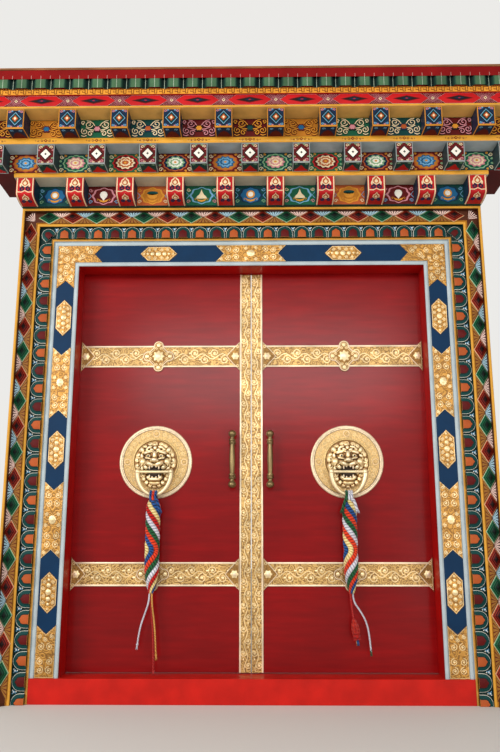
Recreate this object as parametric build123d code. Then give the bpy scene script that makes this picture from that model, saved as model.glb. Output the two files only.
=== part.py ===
from build123d import *
from math import cos, pi, radians, sin, sqrt
import os

# Two inward-opening temple door leaves in a carved, painted surround under a cornice of three
# tiers of beam ends. Millimetres. The origin is on the floor, in the middle of the doorway, in
# the face plane of the casing. X runs along the wall, Y into the building and Z up. "Reach"
# and "rise" are measured towards the visitor, along -Y.

# Doorway
half_opening = 1030.0
opening_height = 2324.0
threshold_height = 129.0
threshold_reach = 15.0

# Frame timbers behind the casing
frame_depth = 194.0
stop_depth = 148.0
rebate_width = 10.0
rebate_rise = 14.0
tenon_length = 45.0
tenon_width = 50.0
tenon_thickness = 90.0
joint_gap = 0.3

# Casing boards: a flat painted field between two rounded beads
casing_thickness = 16.0
casing_inner_bead = 22.0
casing_field = 108.0
casing_outer_bead = 24.0
casing_bead_rise = 6.0

# Lotus timbers: one carved row of petals between two gilt beads
lotus_inner_bead = 13.0
lotus_inner_bead_reach = 14.0
lotus_field = 71.0
lotus_field_reach = 16.0
lotus_outer_bead = 20.0
lotus_outer_bead_reach = 44.0
surround_back = 80.0
petal_half_width = 46.0
petal_side = 24.0
petal_rise = 10.0
tongue_half_width = 27.0
tongue_side = 26.0
tongue_rise = 18.0
head_petal_pitch = 101.9
leg_petal_pitch = 105.6
corner_petal_half_width = 39.0
corner_petal_offset = 8.0

# Pyramid timbers: one row of long diamond pyramids inside a gilt bead
pyramid_field = 62.0
pyramid_field_reach = 50.0
pyramid_bead = 16.0
pyramid_bead_reach = 90.0
pyramid_rise = 35.0
pyramid_half_length = 64.0
head_pyramid_pitch = 142.5
leg_pyramid_pitch = 146.0
leg_pyramid_corner_gap = 66.0

# Gilt plates nailed on the field of the casing
plate_thickness = 3.0
plate_margin = 2.0
bar_width = 9.0
bar_rise = 2.0
corner_bar_gap = 4.0
lozenge_half_length = 110.0
lozenge_half_width = 44.0
notch_depth = 47.0
group_half_length = 210.0
group_bar_offset = 52.0
plate_pitch = 781.0
first_lozenge_height = 440.0
corner_plate_leg = 266.0
foot_plate_height = 270.0
head_plate_corner_end = 892.0
head_lozenge_centre = 553.0

# Cornice: tiers from the lowest up
block_widths = (104.0, 98.0, 98.0)
block_heights = (126.0, 119.0, 114.0)
block_reaches = (112.0, 111.0, 112.0)
block_steps = (4.5, 5.0, 5.5)
shelf_heights = (27.0, 35.0, 12.0)
shelf_noses = (14.0, 14.0, 15.0)
shelf_side_nose = 12.0
shelf_round = 5.0
course_setback = 6.0
first_course_overhang = 22.0
first_block_face_height = 93.0

# Fascia, its fret fillet, the pleated cloth and the boards of the box behind
fascia_thickness = 35.0
fascia_height = 210.0
fascia_setback = 8.0
fret_base = 68.0
fret_height = 35.0
fret_rise = 10.0
cap_thickness = 12.0
cap_nose = 5.0
box_back_thickness = 35.0
box_end_thickness = 25.0
box_back_offset = 40.0
cloth_thickness = 3.0
cloth_drop = 110.0
cloth_clearance = 0.3
pleat_depth = 17.0
pleat_count = 31
pleat_face = 58.0
pleat_slope = 12.0

# Door leaves
leaf_thickness = 56.0
leaf_front_gap = 2.0
leaf_side_gap = 4.0
leaf_seam_gap = 3.0
leaf_top_gap = 4.0
leaf_foot_gap = 6.0
board_count = 4
board_groove = 4.0
ledge_height = 120.0
ledge_thickness = 40.0
ledge_start = 60.0
ledge_hinge_gap = 26.0
hinge_foot_offset = 265.0
hinge_head_offset = 283.0

# Hinges on the back of the leaves and jambs
hinge_height = 160.0
hinge_plate = 80.0
hinge_plate_thickness = 4.0
barrel_radius = 9.0
barrel_standoff = 12.0
knuckle_gap = 0.5
barrel_clearance = 0.6
pin_radius = 4.0
pin_clearance = 0.05
pin_head_radius = 7.0
pin_head_height = 3.0

# Gilt straps, meeting strips and ornaments on the leaves
strap_height = 132.0
strap_heights = (660.0, 1930.0)
strap_thickness = 3.0
strap_end_gap = 6.0
edge_width = 9.0
edge_rise = 2.0
strip_width = 64.0
knocker_centre = 558.0
rosette_reach = 95.0
rosette_lobe = 30.0
rosette_core = 88.0
rosette_boss = 22.0
rosette_boss_rise = 3.0
boss_draft = 30.0
half_diamond_base = 93.0
half_diamond_point = 88.0
half_diamond_sag = 9.0
ornament_thickness = 8.0

# Pull handles
handle_centre = 110.0
handle_height = 1307.5
handle_standoff = 52.0
handle_bar_radius = 12.0
handle_ball_radius = 23.0
handle_ball_offset = 146.5
handle_neck_radius = 10.0
handle_collar_radius = 17.0
handle_collar_height = 24.0
handle_collar_groove = 4.0
handle_post_offset = 100.0
handle_post_radius = 9.0
handle_rose_radius = 19.0
handle_rose_thickness = 6.0

# Knockers: plate, lion mask and ring
knocker_height = 1295.0
knocker_radius = 212.0
knocker_rim = 14.0
knocker_rim_rise = 8.0
knocker_plate_rise = 5.0
knocker_inner_ring = 131.0
knocker_inner_ring_half = 7.0
knocker_inner_ring_rise = 11.0
knocker_dome_rise = 18.0
knocker_boss_radius = 11.0
knocker_boss_circle = 166.0
knocker_boss_rise = 4.0
ring_side = 27.0
ring_half_width = 104.0
ring_tube_radius = 8.0
ring_bar_radius = 7.0
ring_bar_clearance = 0.5
ring_pivot_drop = 62.0
ring_standoff = 58.0

# Lion mask, from the middle of its plate: across, out from the leaf, up
mask_dome_radius = 100.0
mask_dome_rise = 58.0
mask_dome_drop = 10.0
snout = (0.0, 60.0, -14.0)
snout_radius = 36.0
nose = (0.0, 92.0, 0.0)
nose_radius = 15.0
brow = (36.0, 52.0, 38.0)
brow_radius = 25.0
eye = (38.0, 62.0, 12.0)
eye_radius = 13.0
cheek = (64.0, 50.0, -56.0)
cheek_radius = 30.0
chin = (0.0, 42.0, -100.0)
chin_radius = 33.0
mouth_radius = 25.0
mouth_half_width = 42.0
mouth_out = 72.0
curl_radius = 22.0
curl_circle = 84.0
curl_out = 26.0
curl_count = 7
curl_step = 31.0

# Plaited tassels of five coloured ropes, and their tails
plait_radius = 42.0
plait_valley = 36.0
plait_neck_radius = 24.0
plait_length = 512.0
plait_end_radius = 15.0
plait_taper = 150.0
plait_shoulder = 40.0
plait_turn_pitch = 230.0
plait_reversal = 278.0
plait_sections = 21
plait_strands = 5
eye_inner_radius = 11.0
eye_outer_radius = 30.0
eye_width = 40.0
tail_radius = 4.5
tail_arc_share = 0.45
skirt_top_radius = 9.0
skirt_radius = 22.0
skirt_length = 110.0
skirt_shoulder = 60.0
skirt_end_length = 32.0
skirt_end_radius = 9.0
tip_radius = 9.0
tip_length = 22.0

# Heights and planes that follow
lintel = threshold_height + opening_height
casing_width = casing_inner_bead + casing_field + casing_outer_bead
lotus_start = casing_width + lotus_inner_bead
lotus_end = lotus_start + lotus_field
lotus_width = lotus_inner_bead + lotus_field + lotus_outer_bead
pyramid_start = casing_width + lotus_width
pyramid_end = pyramid_start + pyramid_field
surround_width = pyramid_end + pyramid_bead
half_surround = half_opening + surround_width
half_frame = half_opening + casing_width
frame_back = casing_thickness + frame_depth
half_rebate = half_opening + rebate_width
leaf_front = stop_depth + leaf_front_gap
leaf_back = leaf_front + leaf_thickness
leaf_edge = half_rebate - leaf_side_gap
leaf_foot = threshold_height + leaf_foot_gap
leaf_top = lintel + rebate_rise - leaf_top_gap
lowest_hinge = leaf_foot + hinge_foot_offset
highest_hinge = leaf_top - hinge_head_offset
hinge_heights = (lowest_hinge, (lowest_hinge + highest_hinge) / 2, highest_hinge)
head_petal_steps = int((half_opening + lotus_start - petal_half_width) / head_petal_pitch)
head_pyramid_reach = half_opening + pyramid_start - pyramid_half_length
strip_end = leaf_seam_gap + strip_width
hinge_axis_y = frame_back + barrel_standoff
ring_drop = ring_side + ring_half_width


def block(x, y, z):
    """Box between a pair of limits on each axis."""
    size = Box(x[1] - x[0], y[1] - y[0], z[1] - z[0], align=(Align.MIN, Align.MIN, Align.MIN))
    return Pos(x[0], y[0], z[0]) * size


def outline(start, *steps):
    """Closed face. A step is a corner, or a pair (through, end) for an arc."""
    edges = []
    here = start
    for step in steps:
        if isinstance(step[0], tuple):
            edges.append(ThreePointArc(here, step[0], step[1]))
            here = step[1]
        else:
            edges.append(Line(here, step))
            here = step
    edges.append(Line(here, start))
    return make_face(edges)


def mirrored(shape):
    return mirror(shape, about=Plane.YZ)


# The leg and the head of the surround carry the same sections. A section is drawn with X
# across the timber, away from the doorway, and Y into the wall.
leg_face = Plane(origin=(half_opening, 0, 0), x_dir=(1, 0, 0), z_dir=(0, -1, 0))
head_face = Plane(origin=(0, 0, lintel), x_dir=(0, 0, 1), z_dir=(0, -1, 0))
leg_end = Plane(origin=(half_opening, 0, 0), x_dir=(1, 0, 0), z_dir=(0, 0, 1))
head_end = Plane(origin=(0, 0, lintel), x_dir=(0, 0, 1), z_dir=(-1, 0, 0))
waste_depth = surround_width


def leg_timber(section, outer, foot):
    return extrude(leg_end.offset(foot) * section, lintel + outer - foot)


def head_timber(section, outer):
    return extrude(head_end * section, half_opening + outer, both=True)


def mitre_leg(timber, foot):
    """Keep what lies under the mitre line and above the foot."""
    corner = (half_opening, lintel)
    reach = surround_width
    top = [corner, (corner[0] + reach, corner[1] + reach), (corner[0], corner[1] + reach)]
    waste = extrude(Plane.XZ * make_face(Polyline(*top, close=True)), waste_depth, both=True)
    floor = block((0, 2 * half_surround), (-waste_depth, waste_depth), (foot - waste_depth, foot))
    return timber - [waste, floor]


def mitre_head(timber):
    corner = (half_opening, lintel)
    reach = surround_width
    end = [corner, (corner[0] + reach, corner[1] + reach), (corner[0] + reach, corner[1])]
    waste = extrude(Plane.XZ * make_face(Polyline(*end, close=True)), waste_depth, both=True)
    return timber - [waste, mirrored(waste)]


def relief(plane, face, base, rise):
    """Carving that stands on the plane base in front of the casing face."""
    return extrude(plane.offset(base) * face, rise)


# Sections across the timbers
def casing_section():
    middle_1 = casing_inner_bead / 2
    end_2 = casing_width
    start_2 = casing_width - casing_outer_bead
    return outline(
        (0, casing_thickness),
        (0, 0),
        ((middle_1, -casing_bead_rise), (casing_inner_bead, 0)),
        (start_2, 0),
        (((start_2 + end_2) / 2, -casing_bead_rise), (end_2, 0)),
        (end_2, casing_thickness),
    )


def lotus_section():
    inner_root = lotus_inner_bead_reach - lotus_inner_bead / 2
    outer_root = lotus_outer_bead_reach - lotus_outer_bead / 2
    end = casing_width + lotus_width
    return outline(
        (casing_width, surround_back),
        (casing_width, -inner_root),
        ((casing_width + lotus_inner_bead / 2, -lotus_inner_bead_reach), (lotus_start, -inner_root)),
        (lotus_start, -lotus_field_reach),
        (lotus_end, -lotus_field_reach),
        (lotus_end, -outer_root),
        ((lotus_end + lotus_outer_bead / 2, -lotus_outer_bead_reach), (end, -outer_root)),
        (end, surround_back),
    )


def pyramid_section():
    bead_root = pyramid_bead_reach - pyramid_bead / 2
    return outline(
        (pyramid_start, surround_back),
        (pyramid_start, -pyramid_field_reach),
        (pyramid_end, -pyramid_field_reach),
        (pyramid_end, -bead_root),
        ((pyramid_end + pyramid_bead / 2, -pyramid_bead_reach), (surround_width, -bead_root)),
        (surround_width, surround_back),
    )


# Carving
def round_tongue(half_width, side):
    """Outline with a straight root on the Y axis and a round end towards +X."""
    return outline(
        (0, -half_width),
        (side, -half_width),
        ((side + half_width, 0), (side, half_width)),
        (0, half_width),
    )


def petal(plane, place, half_width, side):
    """A raised round-ended leaf under a higher tongue, both rooted at the inner bead."""
    leaf = round_tongue(half_width, side)
    tongue = round_tongue(tongue_half_width - petal_half_width + half_width, tongue_side)
    return [
        relief(plane, place * leaf, lotus_field_reach, petal_rise),
        relief(plane, place * tongue, lotus_field_reach, tongue_rise),
    ]


def corner_petal(plane, turn, along):
    """The petal on the mitre line, cut in half by it."""
    place = Pos(lotus_start, along) * Rot(0, 0, turn) * Pos(corner_petal_offset, 0)
    return petal(plane, place, corner_petal_half_width, petal_side)


def lotus_leg():
    solids = []
    corner_gap = half_opening + lotus_start - head_petal_steps * head_petal_pitch
    height = lintel + lotus_start - corner_gap
    while height > 0:
        solids += petal(leg_face, Pos(lotus_start, height), petal_half_width, petal_side)
        height -= leg_petal_pitch
    solids += corner_petal(leg_face, 45, lintel + lotus_start)
    timber = leg_timber(lotus_section(), casing_width + lotus_width, 0)
    return mitre_leg(timber + solids, 0)


def lotus_head():
    solids = []
    for step in range(-head_petal_steps, head_petal_steps + 1):
        along = step * head_petal_pitch
        solids += petal(head_face, Pos(lotus_start, along), petal_half_width, petal_side)
    for side in (-1, 1):
        solids += corner_petal(head_face, 45 * side, side * (half_opening + lotus_start))
    timber = head_timber(lotus_section(), casing_width + lotus_width)
    return mitre_head(timber + solids)


def pyramid(plane, along):
    """A long diamond pyramid across the whole field."""
    half = pyramid_field / 2
    middle = pyramid_start + half
    base = plane.offset(pyramid_field_reach)
    corners = [
        (middle - half, along),
        (middle, along - pyramid_half_length),
        (middle + half, along),
        (middle, along + pyramid_half_length),
    ]
    diamond = base * make_face(Polyline(*corners, close=True))
    apex = plane.offset(pyramid_field_reach + pyramid_rise) * Pos(middle, along)
    return loft([diamond.face(), Vertex(*apex.position)])


def pyramid_leg():
    height = lintel + pyramid_start - leg_pyramid_corner_gap
    solids = []
    while height > 0:
        solids.append(pyramid(leg_face, height))
        height -= leg_pyramid_pitch
    timber = leg_timber(pyramid_section(), surround_width, 0)
    return mitre_leg(timber + solids, 0)


def pyramid_head():
    solids = []
    along = head_pyramid_pitch / 2
    while along < head_pyramid_reach:
        solids += [pyramid(head_face, along), pyramid(head_face, -along)]
        along += head_pyramid_pitch
    timber = head_timber(pyramid_section(), surround_width)
    return mitre_head(timber + solids)


# Frame timbers
def tenon(height, gap=0.0):
    """Tenon across the joint at a height, or its mortise when a gap is given."""
    middle_x = (half_opening + half_frame) / 2
    middle_y = (casing_thickness + stop_depth) / 2
    width = tenon_width / 2 + gap
    thickness = tenon_thickness / 2 + gap
    length = tenon_length + gap
    return block(
        (middle_x - width, middle_x + width),
        (middle_y - thickness, middle_y + thickness),
        (height - length, height + length),
    )


def threshold():
    body = block((-half_frame, half_frame), (-threshold_reach, frame_back), (0, threshold_height))
    cut = tenon(threshold_height, joint_gap)
    return body - [cut, mirrored(cut)]


def jamb():
    post = block((half_opening, half_frame), (casing_thickness, frame_back), (threshold_height, lintel))
    rebate = block((half_opening, half_rebate), (stop_depth, frame_back), (threshold_height, lintel))
    return post - rebate + [tenon(threshold_height), tenon(lintel)]


def head_beam():
    top = lintel + casing_width
    beam = block((-half_frame, half_frame), (casing_thickness, frame_back), (lintel, top))
    rebate = block((-half_rebate, half_rebate), (stop_depth, frame_back), (lintel, lintel + rebate_rise))
    cut = tenon(lintel, joint_gap)
    return beam - [rebate, cut, mirrored(cut)]


# Gilt plates on the casing field
plate_inner = casing_inner_bead + plate_margin
plate_outer = casing_width - casing_outer_bead - plate_margin
plate_middle = (plate_inner + plate_outer) / 2


def gilt(plane, face):
    return relief(plane, face, 0, plate_thickness)


def cross_bar(plane, along):
    low = along - bar_width / 2
    high = along + bar_width / 2
    corners = [(plate_inner, low), (plate_outer, low), (plate_outer, high), (plate_inner, high)]
    return relief(plane, make_face(Polyline(*corners, close=True)), 0, plate_thickness + bar_rise)


def lozenge(plane, along):
    point = lozenge_half_length
    shoulder = point - lozenge_half_width
    corners = [
        (plate_middle, along - point),
        (plate_middle + lozenge_half_width, along - shoulder),
        (plate_middle + lozenge_half_width, along + shoulder),
        (plate_middle, along + point),
        (plate_middle - lozenge_half_width, along + shoulder),
        (plate_middle - lozenge_half_width, along - shoulder),
    ]
    return gilt(plane, make_face(Polyline(*corners, close=True)))


def swallow_tail(plane, low, high, low_notch, high_notch, bars):
    """A plate across the field whose ends are notched, with raised bars across it."""
    corners = [
        (plate_inner, low),
        (plate_middle, low + low_notch),
        (plate_outer, low),
        (plate_outer, high),
        (plate_middle, high - high_notch),
        (plate_inner, high),
    ]
    plate = gilt(plane, make_face(Polyline(*corners, close=True)))
    return plate + [cross_bar(plane, bar) for bar in bars]


def corner_plate():
    """The L at the top of the leg: down the leg, and along the head as far as its tips."""
    top = lintel + plate_outer
    side = half_opening + plate_outer
    inner_side = half_opening + plate_inner
    inner_top = lintel + plate_inner
    corners = [
        (side, top),
        (side, top - corner_plate_leg),
        ((side + inner_side) / 2, top - corner_plate_leg + notch_depth),
        (inner_side, top - corner_plate_leg),
        (inner_side, inner_top),
        (head_plate_corner_end, inner_top),
        (head_plate_corner_end + notch_depth, (inner_top + top) / 2),
        (head_plate_corner_end, top),
    ]
    plate = relief(Plane.XZ, make_face(Polyline(*corners, close=True)), 0, plate_thickness)
    bar_offset = corner_bar_gap + bar_width / 2
    leg_bar = cross_bar(leg_face, inner_top - bar_offset)
    head_bar = cross_bar(head_face, bar_offset - inner_side)
    return plate + [leg_bar, head_bar]


def casing_plates_side():
    solids = [corner_plate()]
    centre = threshold_height + first_lozenge_height
    while centre + lozenge_half_length < lintel - group_bar_offset:
        solids.append(lozenge(leg_face, centre))
        group = centre + plate_pitch / 2
        if group + group_half_length < lintel + plate_outer - corner_plate_leg:
            bars = [group - group_bar_offset, group + group_bar_offset]
            low = group - group_half_length
            high = group + group_half_length
            solids.append(swallow_tail(leg_face, low, high, notch_depth, notch_depth, bars))
        centre += plate_pitch
    foot_top = threshold_height + foot_plate_height
    bar = threshold_height + foot_plate_height - notch_depth - 2 * group_bar_offset
    solids.append(swallow_tail(leg_face, threshold_height, foot_top, 0, notch_depth, [bar]))
    return Compound(solids)


def casing_plates_head():
    bars = [-group_bar_offset, group_bar_offset]
    middle = swallow_tail(head_face, -group_half_length, group_half_length, notch_depth, notch_depth, bars)
    solids = [middle, lozenge(head_face, head_lozenge_centre), lozenge(head_face, -head_lozenge_centre)]
    return Compound(solids)


# Cornice. Each tier is a course of timber, a row of beam ends and the shelf on them.
beam_pitch = (half_surround - block_widths[0] / 2) / block_steps[0]


def tier_sizes():
    """Foot, half width, course front, block front and shelf front of each tier."""
    tiers = []
    foot = lintel + surround_width
    front = pyramid_bead_reach + first_course_overhang
    for index in range(len(block_widths)):
        half = block_steps[index] * beam_pitch + block_widths[index] / 2
        block_front = front + block_reaches[index]
        shelf_front = block_front + shelf_noses[index]
        tiers.append((foot, half, front, block_front, shelf_front))
        foot += block_heights[index] + shelf_heights[index]
        front = shelf_front - course_setback
    return tiers


tiers = tier_sizes()
fascia_foot = tiers[-1][0] + block_heights[-1] + shelf_heights[-1]
fascia_half = tiers[-1][1]
fascia_front = tiers[-1][4] - fascia_setback
cap_foot = fascia_foot + fascia_height
cloth_back = fascia_front + fret_rise + cloth_clearance
cloth_front = cloth_back + cloth_thickness + pleat_depth


def course(index):
    foot, half, front, block_front, shelf_front = tiers[index]
    return block((-half, half), (-front, surround_back), (foot, foot + block_heights[index]))


def beam_end_section(index):
    """Side outline of a beam end; the lowest tier's is rounded underneath."""
    foot, half, front, block_front, shelf_front = tiers[index]
    top = foot + block_heights[index]
    if index > 0:
        return outline((-front, foot), (-block_front, foot), (-block_front, top), (-front, top))
    lip = top - first_block_face_height
    hollow = EllipticalCenterArc((-front, lip), block_front - front, lip - foot, start_angle=180, arc_size=90)
    sides = Polyline((-block_front, lip), (-block_front, top), (-front, top), (-front, foot))
    return make_face([hollow, *sides.edges()])


def beam_ends(index):
    width = block_widths[index]
    side_view = Plane.YZ * beam_end_section(index)
    one = Pos(-width / 2, 0, 0) * extrude(side_view, width)
    steps = block_steps[index]
    count = round(2 * steps) + 1
    return Compound([Pos((number - steps) * beam_pitch, 0, 0) * one for number in range(count)])


def shelf(index):
    foot, half, front, block_front, shelf_front = tiers[index]
    low = foot + block_heights[index]
    high = low + shelf_heights[index]
    nose = -shelf_front + shelf_round
    section = outline(
        (surround_back, low),
        (nose, low),
        ((-shelf_front, (low + high) / 2), (nose, high)),
        (surround_back, high),
    )
    width = half + shelf_side_nose
    return extrude(Plane.YZ * section, width, both=True)


def fascia():
    """Board with a raised fillet for the fret along its middle."""
    face = -fascia_front
    fret_low = fascia_foot + fret_base
    fret_high = fret_low + fret_height
    section = outline(
        (face + fascia_thickness, fascia_foot),
        (face, fascia_foot),
        (face, fret_low),
        (face - fret_rise, fret_low),
        (face - fret_rise, fret_high),
        (face, fret_high),
        (face, cap_foot),
        (face + fascia_thickness, cap_foot),
    )
    return extrude(Plane.YZ * section, fascia_half, both=True)


def cornice_cap():
    half = fascia_half + shelf_side_nose
    depth = (-cloth_front - cap_nose, box_back_offset)
    return block((-half, half), depth, (cap_foot, cap_foot + cap_thickness))


def cornice_back():
    front = box_back_offset - box_back_thickness
    return block((-fascia_half, fascia_half), (front, box_back_offset), (fascia_foot, cap_foot))


def cornice_ends():
    side = (fascia_half - box_end_thickness, fascia_half)
    depth = (fascia_thickness - fascia_front, box_back_offset - box_back_thickness)
    end = block(side, depth, (fascia_foot, cap_foot))
    return Compound([end, mirrored(end)])


def valance():
    """Box-pleated cloth hung in front of the fascia, its folds open at the back."""
    pitch = 2 * fascia_half / pleat_count
    rest = (pitch - pleat_face - 2 * pleat_slope) / 2
    path = []
    for number in range(pleat_count):
        start = -fascia_half + number * pitch
        path += [
            (start, 0.0),
            (start + rest, 0.0),
            (start + rest + pleat_slope, pleat_depth),
            (start + rest + pleat_slope + pleat_face, pleat_depth),
            (start + pitch - rest, 0.0),
        ]
    path.append((fascia_half, 0.0))
    front = [(x, -cloth_back - cloth_thickness - y) for x, y in path]
    back = [(x, -cloth_back - y) for x, y in reversed(path)]
    face = make_face(Polyline(*front, *back, close=True))
    top = cap_foot - cloth_clearance
    return extrude(Pos(0, 0, top - cloth_drop) * face, cloth_drop)


# Door leaves. The right-hand leaf is drawn and the left one mirrors it.
def leaf_panel():
    panel = block((leaf_seam_gap, leaf_edge), (leaf_front, leaf_back), (leaf_foot, leaf_top))
    width = (leaf_edge - leaf_seam_gap) / board_count
    grooves = []
    for number in range(1, board_count):
        x = leaf_seam_gap + number * width
        low = (x - board_groove, leaf_back)
        high = (x + board_groove, leaf_back)
        groove = make_face(Polyline(low, high, (x, leaf_back - board_groove), close=True))
        grooves.append(extrude(Pos(0, 0, leaf_foot) * groove, leaf_top - leaf_foot))
    return panel - grooves


def ledges():
    end = leaf_edge - hinge_plate - ledge_hinge_gap
    half = ledge_height / 2
    solids = []
    for height in hinge_heights:
        back = (leaf_back, leaf_back + ledge_thickness)
        solids.append(block((ledge_start, end), back, (height - half, height + half)))
    return Compound(solids)


def edged_band(x, z, raised):
    """A thin plate on the leaf, thicker along the named edges."""
    thick = strap_thickness + edge_rise
    base = block(x, (leaf_front - strap_thickness, leaf_front), z)
    return base + [block(ex, (leaf_front - thick, leaf_front), ez) for ex, ez in raised]


def strap(height):
    low = height - strap_height / 2
    high = height + strap_height / 2
    x = (strip_end, half_opening - strap_end_gap)
    return edged_band(x, (low, high), [(x, (low, low + edge_width)), (x, (high - edge_width, high))])


def meeting_strip():
    x = (leaf_seam_gap, strip_end)
    z = (leaf_foot, lintel - strap_end_gap)
    return edged_band(x, z, [((strip_end - edge_width, strip_end), z)])


def leaf_face(x, z):
    """Drawing plane on the front of the leaf, X to the right and Y up."""
    return Plane(origin=(x, leaf_front, z), x_dir=(1, 0, 0), z_dir=(0, -1, 0))


def rosette(height):
    """Four round lobes on a square set cornerwise, with a raised rim and a boss."""
    side = rosette_core * sqrt(2)
    core = Rot(0, 0, 45) * Rectangle(side, side)
    offset_out = rosette_reach - rosette_lobe
    lobes = [
        Pos(offset_out * cos(radians(turn)), offset_out * sin(radians(turn))) * Circle(rosette_lobe)
        for turn in range(0, 360, 90)
    ]
    shape = core + lobes
    plane = leaf_face(knocker_centre, height)
    plate = extrude(plane * shape, ornament_thickness)
    top = plane.offset(ornament_thickness)
    boss = extrude(top * Circle(rosette_boss), rosette_boss_rise, taper=boss_draft)
    return plate + boss


def half_diamond(x, height, side):
    """A pointed plate with hollow sides; its base stands on the vertical line x."""
    base = half_diamond_base
    point = half_diamond_point
    sag = half_diamond_sag
    slope = sqrt(base**2 + point**2)
    middle = (point / 2 - sag * base / slope, base / 2 - sag * point / slope)
    shape = outline(
        (0, -base),
        ((middle[0], -middle[1]), (point, 0)),
        (middle, (0, base)),
    )
    drawn = shape if side > 0 else mirror(shape, about=Plane.YZ)
    return extrude(leaf_face(x, height) * drawn, ornament_thickness)


def strap_ornaments():
    """Rosette and two half diamonds on each strap, hollowed behind to sit over it."""
    solids = []
    for height in strap_heights:
        carrier = strap(height)
        for shape in (
            rosette(height),
            half_diamond(strip_end, height, 1),
            half_diamond(half_opening - strap_end_gap, height, -1),
        ):
            solids += (shape - carrier).solids()
    return Compound(solids)


def handle_profile():
    """Half outline of the turned bar, from its middle up: radius, height."""
    ball = handle_ball_offset
    join = ball - sqrt(handle_ball_radius**2 - handle_neck_radius**2)
    collar_low = handle_post_offset - handle_collar_height / 2
    collar_high = handle_post_offset + handle_collar_height / 2
    collar = handle_collar_radius
    bar = handle_bar_radius
    groove = handle_collar_groove
    return outline(
        (0, -ball - handle_ball_radius),
        ((handle_ball_radius, -ball), (handle_neck_radius, -join)),
        (bar, -collar_high),
        (collar, -collar_high + groove),
        (collar, -collar_low - groove),
        (bar, -collar_low),
        (bar, collar_low),
        (collar, collar_low + groove),
        (collar, collar_high - groove),
        (bar, collar_high),
        (handle_neck_radius, join),
        ((handle_ball_radius, ball), (0, ball + handle_ball_radius)),
    )


def pull_handle():
    axis_y = leaf_front - handle_standoff
    bar = Pos(handle_centre, axis_y, handle_height) * revolve(Plane.XZ * handle_profile(), Axis.Z)
    posts = []
    for side in (-1, 1):
        foot = leaf_face(handle_centre, handle_height + side * handle_post_offset)
        posts.append(extrude(foot * Circle(handle_post_radius), handle_standoff))
        posts.append(extrude(foot * Circle(handle_rose_radius), handle_rose_thickness))
    return bar + posts


def knocker_plate():
    """Turned plate: rounded rim, flat ring, raised ring and a low dome. Like the mask, the
    ring and the plait it is drawn at X 0 and placed on each leaf."""
    rim = knocker_radius - knocker_rim
    rim_middle = knocker_radius - knocker_rim / 2
    ring_out = knocker_inner_ring + knocker_inner_ring_half
    ring_in = knocker_inner_ring - knocker_inner_ring_half
    flat = knocker_plate_rise
    swell = knocker_dome_rise - flat
    dome_radius = (ring_in**2 + swell**2) / (2 * swell)
    dome_middle = knocker_dome_rise - dome_radius + sqrt(dome_radius**2 - (ring_in / 2) ** 2)
    section = outline(
        (0, 0),
        (knocker_radius, 0),
        (knocker_radius, flat),
        ((rim_middle, knocker_rim_rise), (rim, flat)),
        (ring_out, flat),
        ((knocker_inner_ring, knocker_inner_ring_rise), (ring_in, flat)),
        ((ring_in / 2, dome_middle), (0, knocker_dome_rise)),
    )
    centre = (0, leaf_front, knocker_height)
    side_view = Plane(origin=centre, x_dir=(1, 0, 0), z_dir=(0, 0, -1))
    turned = revolve(side_view * section, Axis(centre, (0, 1, 0)))
    bosses = []
    for turn in range(0, 360, 90):
        x = knocker_boss_circle * cos(radians(turn))
        z = knocker_boss_circle * sin(radians(turn))
        seat = leaf_face(x, knocker_height + z).offset(flat)
        bosses.append(extrude(seat * Circle(knocker_boss_radius), knocker_boss_rise, taper=boss_draft))
    return turned + bosses


def mask_point(place, side=1):
    """A point of the mask: across, out from the leaf, up."""
    return Pos(side * place[0], leaf_front - place[1], knocker_height + place[2])


def ring_axis():
    return mask_point((0, ring_standoff, -ring_pivot_drop))


def ball(radius):
    """Sphere whose poles lie on the axis of the plate."""
    return Rot(-90, 0, 0) * Sphere(radius)


def lion_mask():
    """A lion's face in rounded masses, its mouth open around the bar of the ring."""
    dome_radius = (mask_dome_radius**2 + mask_dome_rise**2) / (2 * mask_dome_rise)
    masses = [
        mask_point((0, mask_dome_rise - dome_radius, -mask_dome_drop)) * ball(dome_radius),
        mask_point(snout) * ball(snout_radius),
        mask_point(nose) * ball(nose_radius),
        mask_point(chin) * ball(chin_radius),
    ]
    for side in (-1, 1):
        masses.append(mask_point(brow, side) * ball(brow_radius))
        masses.append(mask_point(eye, side) * ball(eye_radius))
        masses.append(mask_point(cheek, side) * ball(cheek_radius))
    first = 90 - curl_step * (curl_count - 1) / 2
    for number in range(curl_count):
        turn = radians(first + number * curl_step)
        place = (curl_circle * cos(turn), curl_out, curl_circle * sin(turn) - mask_dome_drop)
        masses.append(mask_point(place) * ball(curl_radius))
    head = masses[0] + masses[1:]
    behind = knocker_radius
    wall = block((-behind, behind), (leaf_front, leaf_front + 2 * dome_radius), (0, lintel))
    along_x = ring_axis() * Rot(0, 90, 0)
    bore = along_x * Cylinder(ring_bar_radius + ring_bar_clearance, 2 * ring_half_width)
    mouth_place = mask_point((0, mouth_out, -ring_pivot_drop)) * Rot(0, 90, 0)
    mouth = mouth_place * Cylinder(mouth_radius, 2 * mouth_half_width)
    return head - [wall, knocker_plate(), bore, mouth]


def knocker_ring():
    """A straight bar through the mouth, closed by a round-ended bail."""
    place = ring_axis()
    half = ring_half_width
    round_end = CenterArc((0, -ring_side), half, start_angle=180, arc_size=180)
    sides = [Line((-half, 0), (-half, -ring_side)), Line((half, -ring_side), (half, 0))]
    path = Plane.XZ * Wire([sides[0], round_end, sides[1]])
    section = Plane(origin=path @ 0, z_dir=path % 0) * Circle(ring_tube_radius)
    bail = sweep(section, path=path)
    bar = Rot(0, 90, 0) * Cylinder(ring_bar_radius, 2 * ring_half_width)
    elbows = [Pos(side * ring_half_width, 0, 0) * Sphere(ring_tube_radius) for side in (-1, 1)]
    return place * (bail + [bar] + elbows)


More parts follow.
